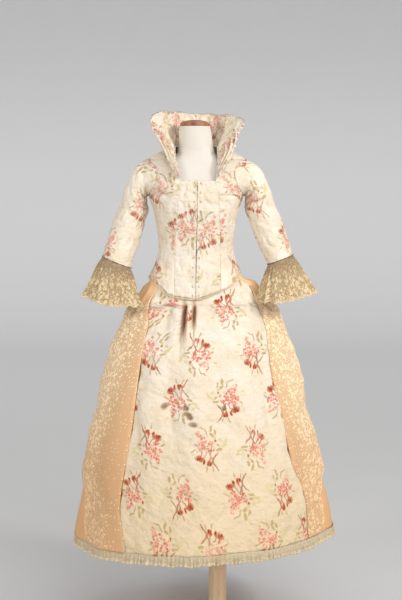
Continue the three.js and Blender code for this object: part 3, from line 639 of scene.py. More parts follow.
def silk(name):
    """Plain apricot silk: vertical shading, fine crosswise slubs and small crackled creases."""
    finish = Finish(name)
    u, v = finish.cloth()
    soft = finish.noise(finish.join(u * 1.6, v * 0.3), 0.02, 3.0)
    slub = finish.noise(finish.join(u * 0.1, v), 0.45, 3.0)
    creases = finish.cells(finish.join(u, v * 0.8), 0.045, "DISTANCE_TO_EDGE")
    base = finish.blend(soft.step(0.3, 0.7), colour(252, 215, 170), colour(245, 199, 149))
    height = finish.split(finish.place())[2]
    # Painted shade: the silk turns darker and browner towards the hem, where the light falls off.
    base = finish.blend(height.step(0.95, 0.35) * 0.85, base, colour(214, 160, 106))
    base = finish.blend(slub.step(0.5, 0.8) * 0.4, base, colour(250, 216, 168))
    finish.set(Base_Color=base, Roughness=0.46 + slub * 0.16)
    finish.shader.inputs["Specular IOR Level"].default_value = 0.3
    finish.bump(slub * 0.5 + creases.step(0.0, 0.06) * 0.35 + soft * 3.0, 0.0012, 0.8)
    return finish.material


def lace(name, light, dark, reach, net, motif, veil):
    """Net with flowers and a solid scalloped edge. u is the distance in from the free edge: the flowers stand
    thick up to reach and thin out to dots beyond. net and veil are how opaque the net and its holes are."""
    finish = Finish(name)
    u, v = finish.cloth()
    flat = finish.join(u, v)
    wobble = finish.split(finish.noise(flat, 0.09, 2.0, output="Color"))
    bent = finish.join(u + (wobble[0] - 0.5) * 9.0, v + (wobble[1] - 0.5) * 9.0)
    mesh_lines = finish.cells(flat, 1 / 2.6, "DISTANCE_TO_EDGE", randomness=0.35).step(0.16, 0.08)
    flowers = finish.cells(bent, 1 / motif)
    outline = finish.cells(bent, 1 / (motif * 0.42), "DISTANCE_TO_EDGE")
    near = u.step(reach * 1.25, reach * 0.45)
    bloom = (flowers + (1.0 - near) * 0.42).step(0.50, 0.38)
    scrolls = (outline + (1.0 - near) * 0.12).step(0.13, 0.05)
    dots = finish.cells(flat, 1 / 14.0, randomness=0.55).step(0.25, 0.18)
    rim = u.step(7.0, 4.0)
    solid = bloom.most(scrolls).most(dots).most(rim)
    holes = finish.cells(flat, 1 / 4.2, randomness=0.9).step(0.20, 0.10) * 0.55
    thick = (solid - solid * holes).most(mesh_lines * net).most(veil)
    grain = finish.noise(flat, 0.6, 2.0)
    base = finish.blend((solid * 0.75 + grain * 0.25), dark, light)
    height = finish.split(finish.place())[2]
    # Painted shade: the lace turns darker and browner towards the hem, where the light falls off.
    hem_shade = tuple(part * share for part, share in zip(dark, (0.76, 0.66, 0.54, 1)))
    base = finish.blend(height.step(0.95, 0.4) * 0.6, base, hem_shade)
    finish.set(Base_Color=base, Roughness=0.8 + grain * 0.1, Alpha=thick.least(1.0))
    finish.bump(solid * 0.7 + grain * 0.4, 0.0009, 0.8)
    return finish.material


def canvas(name):
    """White cotton jersey over padding: a fine knit and faint soiling."""
    finish = Finish(name)
    place = finish.place()
    knit = finish.cells(place, 900.0)
    soil = finish.noise(place, 9.0, 3.0)
    jersey = finish.blend(soil.step(0.45, 0.8) * 0.5, colour(219, 212, 202), colour(208, 199, 186))
    finish.set(Base_Color=jersey, Roughness=0.86 + knit * 0.05)
    finish.bump(knit * 0.5 + soil, 0.0004, 0.5)
    return finish.material


def wood(name, light, dark):
    """Turned beech: long streaks up the grain with short flecks, under a thin varnish."""
    finish = Finish(name)
    x, y, z = finish.split(finish.place())
    streaks = finish.noise(finish.join(x * 60.0, y * 60.0, z * 2.5), 1.0, 5.0)
    flecks = finish.noise(finish.join(x * 500.0, y * 500.0, z * 28.0), 1.0, 2.0)
    base = finish.blend(streaks.step(0.3, 0.72), light, dark)
    base = finish.blend(flecks.step(0.62, 0.72) * 0.5, base, colour(128, 78, 44))
    finish.set(Base_Color=base, Roughness=0.42 + flecks * 0.12)
    finish.shader.inputs["Coat Weight"].default_value = 0.25
    finish.bump(streaks * 0.5 + flecks * 0.4, 0.0004, 0.5)
    return finish.material


def metal(name, tone, roughness, metallic):
    """Metal with fine brushing and worn patches."""
    finish = Finish(name)
    place = finish.place()
    wear = finish.noise(place, 26.0, 4.0)
    brush = finish.noise(place, 900.0, 2.0)
    deeper = tuple(c * 0.72 for c in tone[:3]) + (1.0,)
    finish.set(Base_Color=finish.blend(wear.step(0.4, 0.7), tone, deeper), Metallic=metallic,
               Roughness=roughness + wear * 0.15)
    finish.bump(brush * 0.3 + wear * 0.3, 0.0003, 0.5)
    return finish.material


def cord_finish(name, light, dark):
    """Ruched braid: light and dark threads that wind round it."""
    finish = Finish(name)
    u, v = finish.cloth()
    twist = (u * 1.1 + v * 2.0).sine() * 0.5 + 0.5
    grain = finish.noise(finish.join(u, v), 0.8, 3.0)
    finish.set(Base_Color=finish.blend((twist * 0.6 + grain * 0.5).least(1.0), dark, light), Roughness=0.8)
    finish.bump(twist + grain, 0.0008, 0.8)
    return finish.material


def pearl(name):
    """Glass pearls: warm white with a soft coat."""
    finish = Finish(name)
    cloud = finish.noise(finish.place(), 300.0, 2.0)
    finish.set(Base_Color=finish.blend(cloud, colour(252, 246, 234), colour(232, 214, 190)), Roughness=0.22)
    finish.shader.inputs["Coat Weight"].default_value = 0.6
    return finish.material


# Stains on the skirt's front: x, height, half width, half height, tilt
STAINS = [(-108, 792, 11, 9, 15), (-100, 772, 13, 8, -20), (-84, 741, 14, 8, -10), (-178, 797, 13, 9, 25),
          (18, 790, 9, 7, 0), (-92, 762, 9, 7, 10)]
BROCADE = brocade("cream floral brocade")
BODICE_BROCADE = brocade("cream floral brocade of the bodice", fade=0.22)
# Painted shade in the deep folds of the two waist pleats, a brown tint: x, height, half width, half height,
# tilt
PLEAT_SHADE = [(-113, 1078, 8, 62, 0), (-81, 1092, 7, 46, 0)]
SKIRT_BROCADE = brocade("cream floral brocade with stains and painted pleat shade", stains=STAINS, pleat_shade=PLEAT_SHADE)
SILK = silk("apricot silk")
PANEL_LACE = lace("cream panel lace", colour(254, 230, 192), colour(248, 204, 154), 210.0, 0.7, 15.0, 0.62)
TAN_LACE = lace("tan cuff lace", colour(222, 198, 158), colour(170, 140, 96), 130.0, 0.75, 12.0, 0.3)
HEM_LACE = lace("cream hem lace", colour(250, 240, 214), colour(230, 214, 180), 16.0, 0.9, 9.0, 0.42)
CANVAS = canvas("white jersey")
# Painted light: the pole's colours are paler than the wood, to lift it out of the shadow the skirt casts on it.
POLE_WOOD = wood("beech pole", colour(255, 226, 184), colour(246, 204, 158))
CAP_WOOD = wood("varnished cap", colour(166, 108, 68), colour(124, 74, 42))
BASE_METAL = metal("grey painted steel", colour(150, 148, 144), 0.45, 0.4)
HOOK_STEEL = metal("hook steel", colour(205, 196, 182), 0.35, 0.8)
PIPING = cord_finish("brown and cream piping", colour(238, 218, 182), colour(208, 178, 134))
BRAID = cord_finish("dark braid", colour(152, 120, 80), colour(100, 72, 44))
PEARL = pearl("glass pearl")
THREAD = cord_finish("brown thread", colour(158, 124, 84), colour(118, 86, 54))

# ---------------------------------------- the dress form

FORM_INSET, SHOULDER_DROP, TORSO_FOOT = 11.0, 9.0, 1150.0
NECK_TOP_Z = 1727.0
CAP_X, CAP_Y = -79.0, 6.0


def dress_form():
    """The torso follows the bodice's sections, inset; its neck is a tapering ellipse. Cap, pole and base are
    turned profiles."""
    turns = np.linspace(-180, 180, 97)[:-1]
    z = np.concatenate([np.linspace(TORSO_FOOT, 1560, 50), np.linspace(1568, 1644, 14)])[:, None]
    lift = SHOULDER_DROP * smoothstep(1540, 1600, z)
    sizes = [size - FORM_INSET + 2 * smoothstep(1540, 1600, z) for size in bodice_section(z + lift)]
    sizes[0] = mix(sizes[0], 64, smoothstep(1580, 1642, z))
    sizes[1] = sizes[1] + 13.5 * smoothstep(1575, 1644, z)
    x, y = superellipse(*sizes, turns[None, :], SQUARENESS)
    body = stack(TORSO_X + x, y, z)
    neck = smooth([(1644, 64, 57, 58), (1652, 61, 55.5, 56.5), (1660, 59.5, 54, 56), (1674, 58, 51, 56),
                   (1696, 57, 47.5, 56), (1727, 52, 44, 57)])
    z = np.linspace(1654, NECK_TOP_Z, 24)[:, None]
    middle = mix(TORSO_X, CAP_X, smoothstep(1640, NECK_TOP_Z, z))
    x, y = superellipse(*neck(z), turns[None, :], 2.0)
    points = np.concatenate([body, stack(middle + x, y, z)])
    bottom = points[:1].mean(axis=1, keepdims=True)
    top = points[-1:].mean(axis=1, keepdims=True)
    small = 0.02
    points = np.concatenate(
        [mix(bottom, points[:1], small), points[:1], points, points[-1:], mix(top, points[-1:], small)])
    piece = mesh_piece("form_cover", points, CANVAS, ring=True, capped=True)
    settle(piece, "canvas", "form_torso")

    low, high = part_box("form_neck_cap")
    radius, height = (high.x - low.x) / 2 / MM, (high.z - low.z) / MM
    arc = np.radians(np.linspace(0, 89, 14))
    dome = [(radius * math.cos(a), height * (0.34 + 0.66 * math.sin(a))) for a in arc]
    edge = [(1, 0), (radius - 2, 0), (radius - 0.5, 1), (radius, 3)]
    turned("neck_cap", edge + dome, (CAP_X, CAP_Y, low.z / MM), CAP_WOOD, "wood", "form_neck_cap")
    low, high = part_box("form_pole")
    radius, height = (high.x - low.x) / 2 / MM, (high.z - low.z) / MM
    turned("pole", [(1, 0), (radius, 0.1), (radius, height / 2), (radius, height - 0.1), (1, height)],
           (0, 0, low.z / MM), POLE_WOOD, "wood", "form_pole")
    low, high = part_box("form_base")
    radius, height = high.x / MM, high.z / MM
    rim = [(radius - 4 + 4 * math.sin(a), height - 4 + 4 * math.cos(a)) for a in np.linspace(math.pi / 2, 0, 7)]
    foot = [(1, 0), (radius - 1.5, 0), (radius, 1.5)]
    turned("base_plate", foot + rim + [(1, height)], (0, 0, 0), BASE_METAL, "base_metal", "form_base")


def turned(name, profile, centre, material, slot, node):
    """A profile of (radius, height) turned round the vertical through centre, its ends closed."""
    turns = np.radians(np.linspace(0, 360, 97)[:-1])
    radii, heights = np.array(profile, float).T
    points = stack(centre[0] + radii[:, None] * np.cos(turns), centre[1] + radii[:, None] * np.sin(turns),
                   centre[2] + heights[:, None])
    piece = mesh_piece(name, points, material, ring=True, capped=True)
    piece.data.set_sharp_from_angle(angle=math.radians(40))
    settle(piece, slot, node)


# ---------------------------------------- the bodice

def armhole_cut(z):
    """Half the armhole's angle at a height: its outline is an ellipse."""
    share = np.clip((z - ARMHOLE_Z) / ARMHOLE_HALF_HEIGHT, -1, 1)
    return ARMHOLE_HALF_ANGLE * np.sqrt(1 - share * share)


def gap_angle(z):
    """Half a seam's gap as an angle."""
    return np.degrees(SEAM_GAP / 2 / bodice_section(z)[0])


def bodice_panel(name, start, end, top, anchor, site, columns=26):
    """From the seam start to the seam end, and from the lower edge to the top: the bodice's surface with the
    edges turned in a little at the seams, two shallow drag folds at the waist, and soft puckers along the
    lower edge."""
    share = np.linspace(0, 1, columns)[None, :]
    level = 1240.0
    levels = np.concatenate([np.arange(level, 1490, 5.0), np.arange(1490, 1613, 3.0), [1613.0, 1618, 1624],
                             np.arange(1630, 1661, 3.0), [top]])
    levels = np.unique(levels[levels <= top])[:, None]
    angle = mix(start(levels), end(levels), share)
    low = lower_edge(mix(start(np.full((1, 1), 1180.0)), end(np.full((1, 1), 1180.0)), share))
    steps = np.linspace(0, 1, 16)[:-1, None]
    low_z = mix(low, level, steps)
    low_angle = mix(start(low_z[:, :1]), end(low_z[:, -1:]), share)
    angle = np.concatenate([low_angle, angle])
    z = np.concatenate([low_z, levels + np.zeros_like(share)])
    edge = np.minimum(share, 1 - share)
    turned_in = -0.7 * bell(edge, 0, 0.03)
    drag = 0.9 * np.sin(z / 9.0 + angle / 6.0) * bell(z, 1262, 34) * smoothstep(0.02, 0.15, edge)
    pucker = 1.3 * np.sin(angle * 0.9 + 2 * np.sin(angle * 0.21)) * bell(z, low, 22)
    pucker = pucker - 4.0 * rumple(angle * 2.3, z, 22, 0.7) * smoothstep(0.0, 0.12, edge)
    bust = smoothstep(0.0, 0.1, edge) * smoothstep(1380, 1500, z)
    pucker = pucker - 2.4 * rumple(angle * 1.2, z, 11, 4.1) * bust
    high = smoothstep(1475, 1500, z) * smoothstep(1650, 1600, z)
    pucker = pucker - 3.6 * high * rumple(angle * 2.6, z * 0.8, 15, 1.9) * smoothstep(0.02, 0.15, edge)
    points = on_bodice(angle, z, 0.0)
    outward = points - on_bodice(angle, z, -1.0)
    outward /= np.linalg.norm(outward, axis=-1, keepdims=True)
    points = points + outward * (turned_in + drag + pucker)[..., None]
    uv = cloth_uv(points, anchor, SPRAY[site])
    piece = mesh_piece("cloth_" + name, points, BODICE_BROCADE, uv, wall=CLOTH,
                       outwards=facing(points, TORSO_MIDDLE))
    settle(piece, "brocade", name)
    declare(points)


def bodice():
    """Six panels between the opening, the front seams, the side seams with their armholes, and the centre
    back."""
    def seam(side, sign=0.0):
        return lambda z: bodice_angle(front_seam[side](z), z) + sign * gap_angle(z)

    def opening(sign):
        def edge(z):
            gape = 0.5 + 1.1 * bell(z, 1518, 16) + 1.2 * bell(z, 1278, 42)
            return bodice_angle(closure(z) + sign * gape, z)
        return edge

    def side_edge(sign, half):
        return lambda z: sign * (90 + half * (armhole_cut(z) + gap_angle(z)))

    bodice_panel("bodice_front_right", seam("right", 2), opening(-1), NECKLINE_Z, (-108, 1391), "buds up")
    bodice_panel("bodice_front_left", opening(1), seam("left", -2), NECKLINE_Z, (-34, 1365), "buds down")
    bodice_panel("bodice_side_front_right", side_edge(-1, -1), seam("right"), SHOULDER_NECK_Z, (-197, 1503),
                 "mirrored down", 34)
    bodice_panel("bodice_side_front_left", seam("left"), side_edge(1, -1), SHOULDER_NECK_Z, (54, 1509),
                 "mirrored down", 34)
    bodice_panel("bodice_back_left", side_edge(1, 1), lambda z: 180 - gap_angle(z), SHOULDER_NECK_Z,
                 (20, 1400), "buds up", 40)
    bodice_panel("bodice_back_right", lambda z: gap_angle(z) - 180, side_edge(-1, 1), SHOULDER_NECK_Z,
                 (-170, 1400), "mirrored up", 40)


def tube(name, path, radius, material, slot, nodes=(), sides=8, ruche=0.0):
    """A round cord along a path: at each point a circle square to the path, its radius swelling in a sine
    wave."""
    ahead = np.gradient(path, axis=0)
    ahead /= np.linalg.norm(ahead, axis=1, keepdims=True)
    side = np.cross([0, 0, 1.0], ahead)
    side /= np.linalg.norm(side, axis=1, keepdims=True)
    up = np.cross(ahead, side)
    along = lengths(path, 0)
    turn = np.radians(np.linspace(0, 360, sides + 1)[:-1])[None, :, None]
    swell = radius * (1 + ruche * np.sin(along * 1.6))[:, None, None]
    points = path[:, None] + swell * (side[:, None] * np.cos(turn) + up[:, None] * np.sin(turn))
    uv = np.stack(np.broadcast_arrays(along[:, None], np.linspace(0, 6, sides)), -1) * MM
    piece = mesh_piece(name, points, material, uv, ring=True, outwards=facing(points, path), capped=True)
    return settle(piece, slot, *nodes)


def piping():
    """A ruched cord under the bodice's lower edge, one for each side of the opening."""
    for side, start, end in (("right", -177.5, -1.6), ("left", 0.3, 177.5)):
        angle = np.linspace(start, end, 420)
        path = on_bodice(angle, lower_edge(angle), 0.4)
        path[:, 2] -= 2.4 - 0.5 * np.sin(angle * 2.2)
        tube(f"piping_{side}", path, 2.0, PIPING, "piping", [f"bodice_edging_{side}"], ruche=0.22)


def beads(name, centres, radii, material, slot, stretch=(1, 1, 1)):
    """Many small balls in one mesh: an icosahedron split once and drawn out to the sphere, copied to each
    centre."""
    base = bpy.data.meshes.new("bead")
    ball = bmesh.new()
    bmesh.ops.create_icosphere(ball, subdivisions=2, radius=1.0)
    ball.to_mesh(base)
    ball.free()
    corners = np.empty(len(base.vertices) * 3)
    base.vertices.foreach_get("co", corners)
    faces = np.empty(len(base.loops), int)
    base.loops.foreach_get("vertex_index", faces)
    corners, faces = corners.reshape(-1, 3), faces.reshape(-1, 3)
    bpy.data.meshes.remove(base)
    centres = np.asarray(centres, float)
    radii = np.broadcast_to(np.asarray(radii, float), len(centres))
    points = centres[:, None] + corners[None] * np.array(stretch) * radii[:, None, None]
    offsets = (np.arange(len(centres)) * len(corners))[:, None, None]
    mesh = bpy.data.meshes.new(name)
    mesh.from_pydata((points.reshape(-1, 3) * MM).tolist(), [], (faces[None] + offsets).reshape(-1, 3).tolist())
    mesh.uv_layers.new(name="cloth")
    mesh.polygons.foreach_set("use_smooth", np.ones(len(mesh.polygons), bool))
    mesh.materials.append(material)
    piece = bpy.data.objects.new(name, mesh)
    bpy.context.scene.collection.objects.link(piece)
    return settle(piece, slot)


def closure_fastenings():
    """Thirteen rows down the opening, each a pair of stitches on either side and a small bar between them. The
    rows have their own spacing, so they stand a little above or below the twelve hooks."""
    heights = np.linspace(1152, 1532, 13)
    spots, bars = [], []
    for z in heights:
        for sign in (-1, 1):
            for dz in (-2.2, 2.2):
                angle = bodice_angle(closure(z) + sign * 10.5, z)
                spots.append(on_bodice(angle, z + dz, 0.5))
        bars.append(on_bodice(bodice_angle(closure(z), z), z, 0.2))
    beads("hook_stitches", spots, 1.4, THREAD, "piping", (1.6, 0.6, 0.7))
    beads("hook_bars", bars, 1.3, HOOK_STEEL, "hook_steel", (1.0, 0.5, 1.6))
    for i in range(1, 13):
        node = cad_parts[f"hook_{i:02d}"]
        node.data.materials.clear()
        node.data.materials.append(HOOK_STEEL)


# ---------------------------------------- the collar

def collar_surface(side, u, v):
    """From a base curve on the neckline to the rim curve, bowed up between them, with lengthwise folds that
    spread from the base and a rippled rim."""
    sign = 1 if side == "left" else -1
    rise = np.clip(u / 0.6, 0, 1)
    z = mix(NECKLINE_Z + 6, SHOULDER_NECK_Z, rise)
    front = bodice_angle(front_seam[side](z), z)
    bearing = np.where(u < 0.6, front, sign * mix(np.abs(front), 179.85, np.clip((u - 0.6) / 0.4, 0, 1)))
    base = on_bodice(bearing, z, 3.4)
    base[..., 2] += 2.4
    rim = through(COLLAR_RIM[side], u.ravel()).reshape(u.shape + (3,)) + [TORSO_X, 0, 0]
    points = mix(base, rim, v[..., None])
    points[..., 2] += 20 * v * (1 - v)
    across = np.gradient(points, axis=1)
    up = np.gradient(points, axis=0)
    normal = np.cross(across, up)
    normal /= np.maximum(np.linalg.norm(normal, axis=-1, keepdims=True), 1e-9)
    wing = smoothstep(0.56, 0.40, u)
    folds = 7.0 * wing * np.sin(v * 21 + 5 * u + 1.2 * np.sin(u * 17)) * smoothstep(0.0, 0.1, u)
    folds = folds + 2.8 * (1 - wing) * np.sin(u * 52 + 2.2 * np.sin(v * 5 + u * 9)) * smoothstep(1.05, 0.75, v)
    folds = (folds - 2.5 * rumple(u * 260, v * 90, 17, 0.3)) * smoothstep(0.05, 0.3, v)
    gathers = 1.5 * np.sin(u * 110) * bell(v, 0.08, 0.12)
    ripple = 1.8 * np.sin(u * 60 + 1) * smoothstep(0.8, 1, v)
    points = points + normal * (folds + gathers + ripple)[..., None]
    points[..., 2] += 2.2 * np.sin(u * 38) * smoothstep(0.85, 1, v) * smoothstep(0.25, 0.4, u)
    return points


def collar():
    """Both halves, a rolled edge along the rim, pearls at the left corner and dark beads along the top."""
    for side in ("right", "left"):
        u, v = np.meshgrid(np.linspace(0, 1, 150), np.linspace(0, 1, 34))
        points = collar_surface(side, u, v)
        uv = cloth_uv(points, (points[20, 60, 0], points[20, 60, 2]), SPRAY["buds up"])
        piece = mesh_piece(f"cloth_collar_{side}", points, BODICE_BROCADE, uv, wall=COLLAR_WALL,
                           outwards=facing(points, (TORSO_X, 0, 1500)))
        settle(piece, "brocade", f"collar_{side}")
        declare(points)
        tube(f"collar_roll_{side}", points[-1, 4:-1], 2.2, BODICE_BROCADE, "brocade", ruche=0.12)
    u = np.linspace(0.5, 0.97, 24)[None, :]
    rims = [collar_surface(side, np.repeat(u, 3, 0), np.array([[0.98], [0.99], [1.0]]) + 0 * u)[2] for side in
            ("right", "left")]
    beads("collar_beads", np.concatenate(rims) + [0, -1.0, 3.0], 1.7, THREAD, "piping")
    u = np.array([[0.26, 0.31, 0.36, 0.41, 0.46, 0.51]])
    spots = collar_surface("left", np.repeat(u, 3, 0), np.array([[0.92], [0.93], [0.94]]) + 0 * u)[1]
    beads("collar_pearls", spots + [3.0, -5.0, 0], 3.6, PEARL, "hook_steel")


# ---------------------------------------- sleeves

SLEEVE_SPRAYS = {"right": ((-262, 1450), "mirrored down"), "left": ((118, 1470), "mirrored down")}


def sleeves():
    """Each sleeve, the braid round its cuff and its lace flounce."""
    for side in ("right", "left"):
        sign = 1 if side == "left" else -1
        turn = np.linspace(-180, 180, 97)[:-1]
        along = np.linspace(0, 1, 110)
        points = on_sleeve(side, turn, along)
        anchor, site = SLEEVE_SPRAYS[side]
        uv = sleeve_uv(points, anchor, SPRAY[site], sign)
        piece = mesh_piece(f"cloth_sleeve_{side}", points, BODICE_BROCADE, uv, ring=True, wall=CLOTH,
                           outwards=facing(points, points.mean(axis=1)))
        settle(piece, "brocade", f"sleeve_{side}")
        declare(points, ring=True)
        cuff = points[-3:-1].mean(axis=0)
        middle = cuff.mean(axis=0)
        band = middle + (cuff - middle) * 1.03
        closed = np.concatenate([band, band[:2]])
        tube(f"cuff_cord_{side}", closed, 1.7, BRAID, "piping", [f"cuff_braid_{side}"], ruche=0.25)
        cuff_lace(side, sign)


def sleeve_uv(points, anchor, site, sign):
    """Round the sleeve for u, scaled to its middle girth, and down it for v."""
    girth = lengths(np.concatenate([points, points[:, :1]], axis=1), 1)[:, -1].mean()
    columns = points.shape[1]
    u = (np.arange(columns) / columns * girth)[None, :] * -sign
    v = -lengths(points, 0)[:, columns * 3 // 4][:, None]
    behind = np.where(points[..., 1] < -10, 0, 500)
    gap = np.hypot(points[..., 0] - anchor[0], points[..., 2] - anchor[1]) + behind
    row, column = np.unravel_index(np.argmin(gap), gap.shape)
    u = u - u[0, column] + site[0] + 0 * v
    v = v - v[row, 0] + site[1] + 0 * u
    return np.stack([u, v], axis=-1) * MM


def cuff_lace(side, sign):
    """A bell of gathered lace: rings from the cuff to the hem of the flounce, with sine gathers whose depth
    grows downwards and which wander a little, and a scalloped lower edge."""
    turn = np.linspace(-180, 180, 321)[:-1][None, :]
    t = np.linspace(0, 1, 36)[:, None]
    cuff, low = np.array(SLEEVE_RINGS[side][-1], float), np.array(CUFF_LACE[side], float)
    spread = t ** 0.8
    ring = [mix(cuff[i], low[i], t if i in (1, 3, 5) else spread) for i in range(6)]
    r = np.radians(turn)
    wander = 0.35 * np.sin(2 * r + 1) + 0.2 * np.sin(5 * r + sign)
    folds = 0.10 * t * np.sin(8 * (r + wander) + 2.2 * t) + 0.05 * t * np.sin(13 * r - 4 * wander)
    folds = folds + 0.022 * np.sin(27 * r + 3 * wander) * smoothstep(0, 0.2, t)
    points = arm_ring(ring, turn, sign, 1 + folds)
    scallop = np.abs(np.sin(15 * r)) * 7 + np.abs(np.sin(60 * r)) * 1.6
    points[..., 2] -= 0.8 + 14 * t * np.sin(r) ** 2 + (scallop - 4) * smoothstep(0.7, 1, t)
    girth = lengths(points, 1)[-1, -1]
    uv = np.stack([(1 - t) * 130 + 0 * turn, (turn / 360) * girth + 0 * t], -1) * MM
    piece = mesh_piece(f"cuff_lace_{side}", points, TAN_LACE, uv, ring=True, wall=LACE_WALL,
                       outwards=facing(points, points.mean(axis=1)))
    settle(piece, "sleeve_lace", f"sleeve_flounce_{side}")
    declare(points, ring=True)


# ---------------------------------------- the skirt

def skirt_grid(start, end, shares, detail=None):
    """Rows that follow the hem's curve at the foot and are level above it, up to the waistband under the
    bodice; columns from start to end."""
    share = np.asarray(shares)[None, :]
    z = np.concatenate([np.linspace(HEM_Z, 1080, 84), np.linspace(1084, 1262.6, 40)])[:, None]
    angle = mix(start(z), end(z), share)
    z = z + 0 * angle
    hem_x = on_skirt(angle[:1], z[:1])[..., 0]
    z = z + (hem_height(hem_x) - HEM_Z) * smoothstep(470, HEM_Z, z)
    points = on_skirt(angle, z)
    if detail is not None:
        outward = on_skirt(angle, z, 1.0) - points
        points = points + outward * detail(angle, z)[..., None]
    return points


def skirt_gap(z):
    """A seam's gap as an angle."""
    return np.degrees(SEAM_GAP / skirt_section(z)[1])


def skirt_creases(angle, z):
    """The creases of SKIRT_CREASES, each a hump across times a hump down, with a slow cosine drape, two
    slanting folds, crossing creases and a little unevenness."""
    folds = 6.5 * np.cos(np.radians(13 * angle + 30 + 0.12 * (z - 800))) * bell(z, 800, 190)
    folds = folds + sum(depth * bell(angle, place, width) * bell(z, height, reach)
                        for depth, place, width, height, reach in SKIRT_CREASES)
    folds = folds - 4.5 * rumple(angle * 5.0, z, 58, 1.1) * smoothstep(1130, 1040, z)
    waist = smoothstep(860, 1000, z) * smoothstep(1130, 1090, z)
    folds = folds - 2.2 * rumple(angle * 4.2, z * 0.7, 30, 2.6) * waist
    folds = folds - 4.0 * bell(angle - (z - 700) * 0.012, -18, 5) * bell(z, 640, 200)
    folds = folds + 3.0 * bell(angle + (z - 600) * 0.010, 24, 6) * bell(z, 560, 190)
    uneven = 0.8 * np.sin(angle * 0.55 + z * 0.017) + 0.5 * np.sin(angle * 0.9 - z * 0.031)
    return folds + uneven * smoothstep(1240, 1100, z)


def side_creases(angle, z):
    """Narrow pleats that hold the silk in at the waist and open out by the hip."""
    pleats = 5.0 * np.sin(np.radians(angle * 27)) * smoothstep(1020, 1160, z) * smoothstep(1235, 1200, z)
    uneven = 1.0 * np.sin(angle * 0.4 + z * 0.011) + 0.6 * np.sin(angle * 0.8 - z * 0.019)
    return pleats + uneven * smoothstep(1200, 1000, z)


def skirt():
    """The brocade front, silk sides and silk back, hung from a waistband under the bodice."""
    right, left, seam = panel_edge["right"], panel_edge["left"], 92.0

    def constant(value, sign=0.0):
        return lambda z: value + sign * skirt_gap(z)

    points = skirt_grid(right, left, np.linspace(0, 1, 170), skirt_creases)
    anchor_z = 514.0
    row = np.argmin(np.abs(points[:, 85, 2] - anchor_z))
    middle = np.argmin(np.abs(points[row, :, 0] - skirt_section(anchor_z)[0]))
    anchor = (points[row, middle, 0], anchor_z)
    uv = cloth_uv(points, anchor, (245, 0))
    finish_panel("skirt_front", points, uv, SKIRT_BROCADE, "brocade")
    silk_panels = [
        ("skirt_side_right", constant(-seam), lambda z: right(z) - skirt_gap(z), 64),
        ("skirt_side_left", lambda z: left(z) + skirt_gap(z), constant(seam), 56),
        ("skirt_back_left", constant(seam, 1), constant(180, -0.5), 84),
        ("skirt_back_right", constant(-180, 0.5), constant(-seam, -1), 84)]
    for name, start, end, columns in silk_panels:
        points = skirt_grid(start, end, np.linspace(0, 1, columns), side_creases)
        finish_panel(name, points, cloth_uv(points, (points[40, 10, 0], 700), (0, 0)), SILK, "silk")
    turns = np.linspace(-180, 180, 161)[:-1][None, :]
    band = on_bodice(turns, np.linspace(1263, 1290, 6)[:, None], -UNDER_INSET)
    piece = mesh_piece("waist_band", band, SILK, ring=True, wall=CLOTH)
    settle(piece, "silk", "waistband")
    declare(band, ring=True)


def finish_panel(name, points, uv, material, slot):
    """A panel of the skirt, hung from the waistband."""
    piece = mesh_piece("cloth_" + name, points, material, uv, wall=CLOTH, outwards=facing(points, SKIRT_MIDDLE))
    settle(piece, slot, name)
    declare(points)


def lace_panels():
    """Lace laid over each silk side: from the brocade's edge to a scalloped free edge that stands off the
    silk."""
    for side in ("right", "left"):
        inner, outer = panel_edge[side], lace_edge[side]
        share = np.linspace(0, 1, 70)[None, :] ** 0.85
        z = np.linspace(HEM_Z + 4, 1128, 264)[:, None]
        scallop = 13.0 * np.abs(np.sin(z / 53 * math.pi)) ** 0.7 + 2.0 * np.abs(np.sin(z / 9.0))
        sign = 1 if side == "left" else -1
        reach = outer(z) + sign * np.degrees((scallop - 8) / skirt_section(z)[1])
        angle = mix(inner(z) + sign * 0.2, reach, share)
        hem_x = on_skirt(angle[:1], z[:1] + 0 * angle[:1])[..., 0]
        height = z + (hem_height(hem_x) - HEM_Z) * smoothstep(470, HEM_Z, z)
        ripple = 2.2 * np.sin(z / 23.0 + 3 * share) * share ** 3 + 1.2 * np.sin(z / 9.5) * share ** 6
        puffs = lace_stand_off[side](z) * share ** 2.5 * (0.72 + 0.28 * np.sin(z / 46.0 + 1))
        lift = LACE_LIFT + np.maximum(puffs + ripple, -1.0)
        pleats = 1.2 * np.sin(np.radians(angle * 40)) * smoothstep(1000, 1100, height)
        points = on_skirt(angle, height, lift + pleats)
        width = lengths(points, 1)[:, -1:]
        u = width - lengths(points, 1)
        v = lengths(points[:, :1], 0) + 0 * u
        uv = np.stack([u, v], -1) * MM
        piece = mesh_piece(f"side_lace_{side}", points, PANEL_LACE, uv, wall=LACE_WALL,
                           outwards=facing(points, SKIRT_MIDDLE))
        settle(piece, "panel_lace", f"lace_panel_{side}")
        declare(points)


def edge_pearls():
    """Small pearls down both edges of the brocade front."""
    spots = []
    for side in ("right", "left"):
        z = np.arange(372, 1120, 46.0)
        spots.append(on_skirt(panel_edge[side](z), z, 4.5))
    beads("panel_pearls", np.concatenate(spots), 2.6, PEARL, "hook_steel")


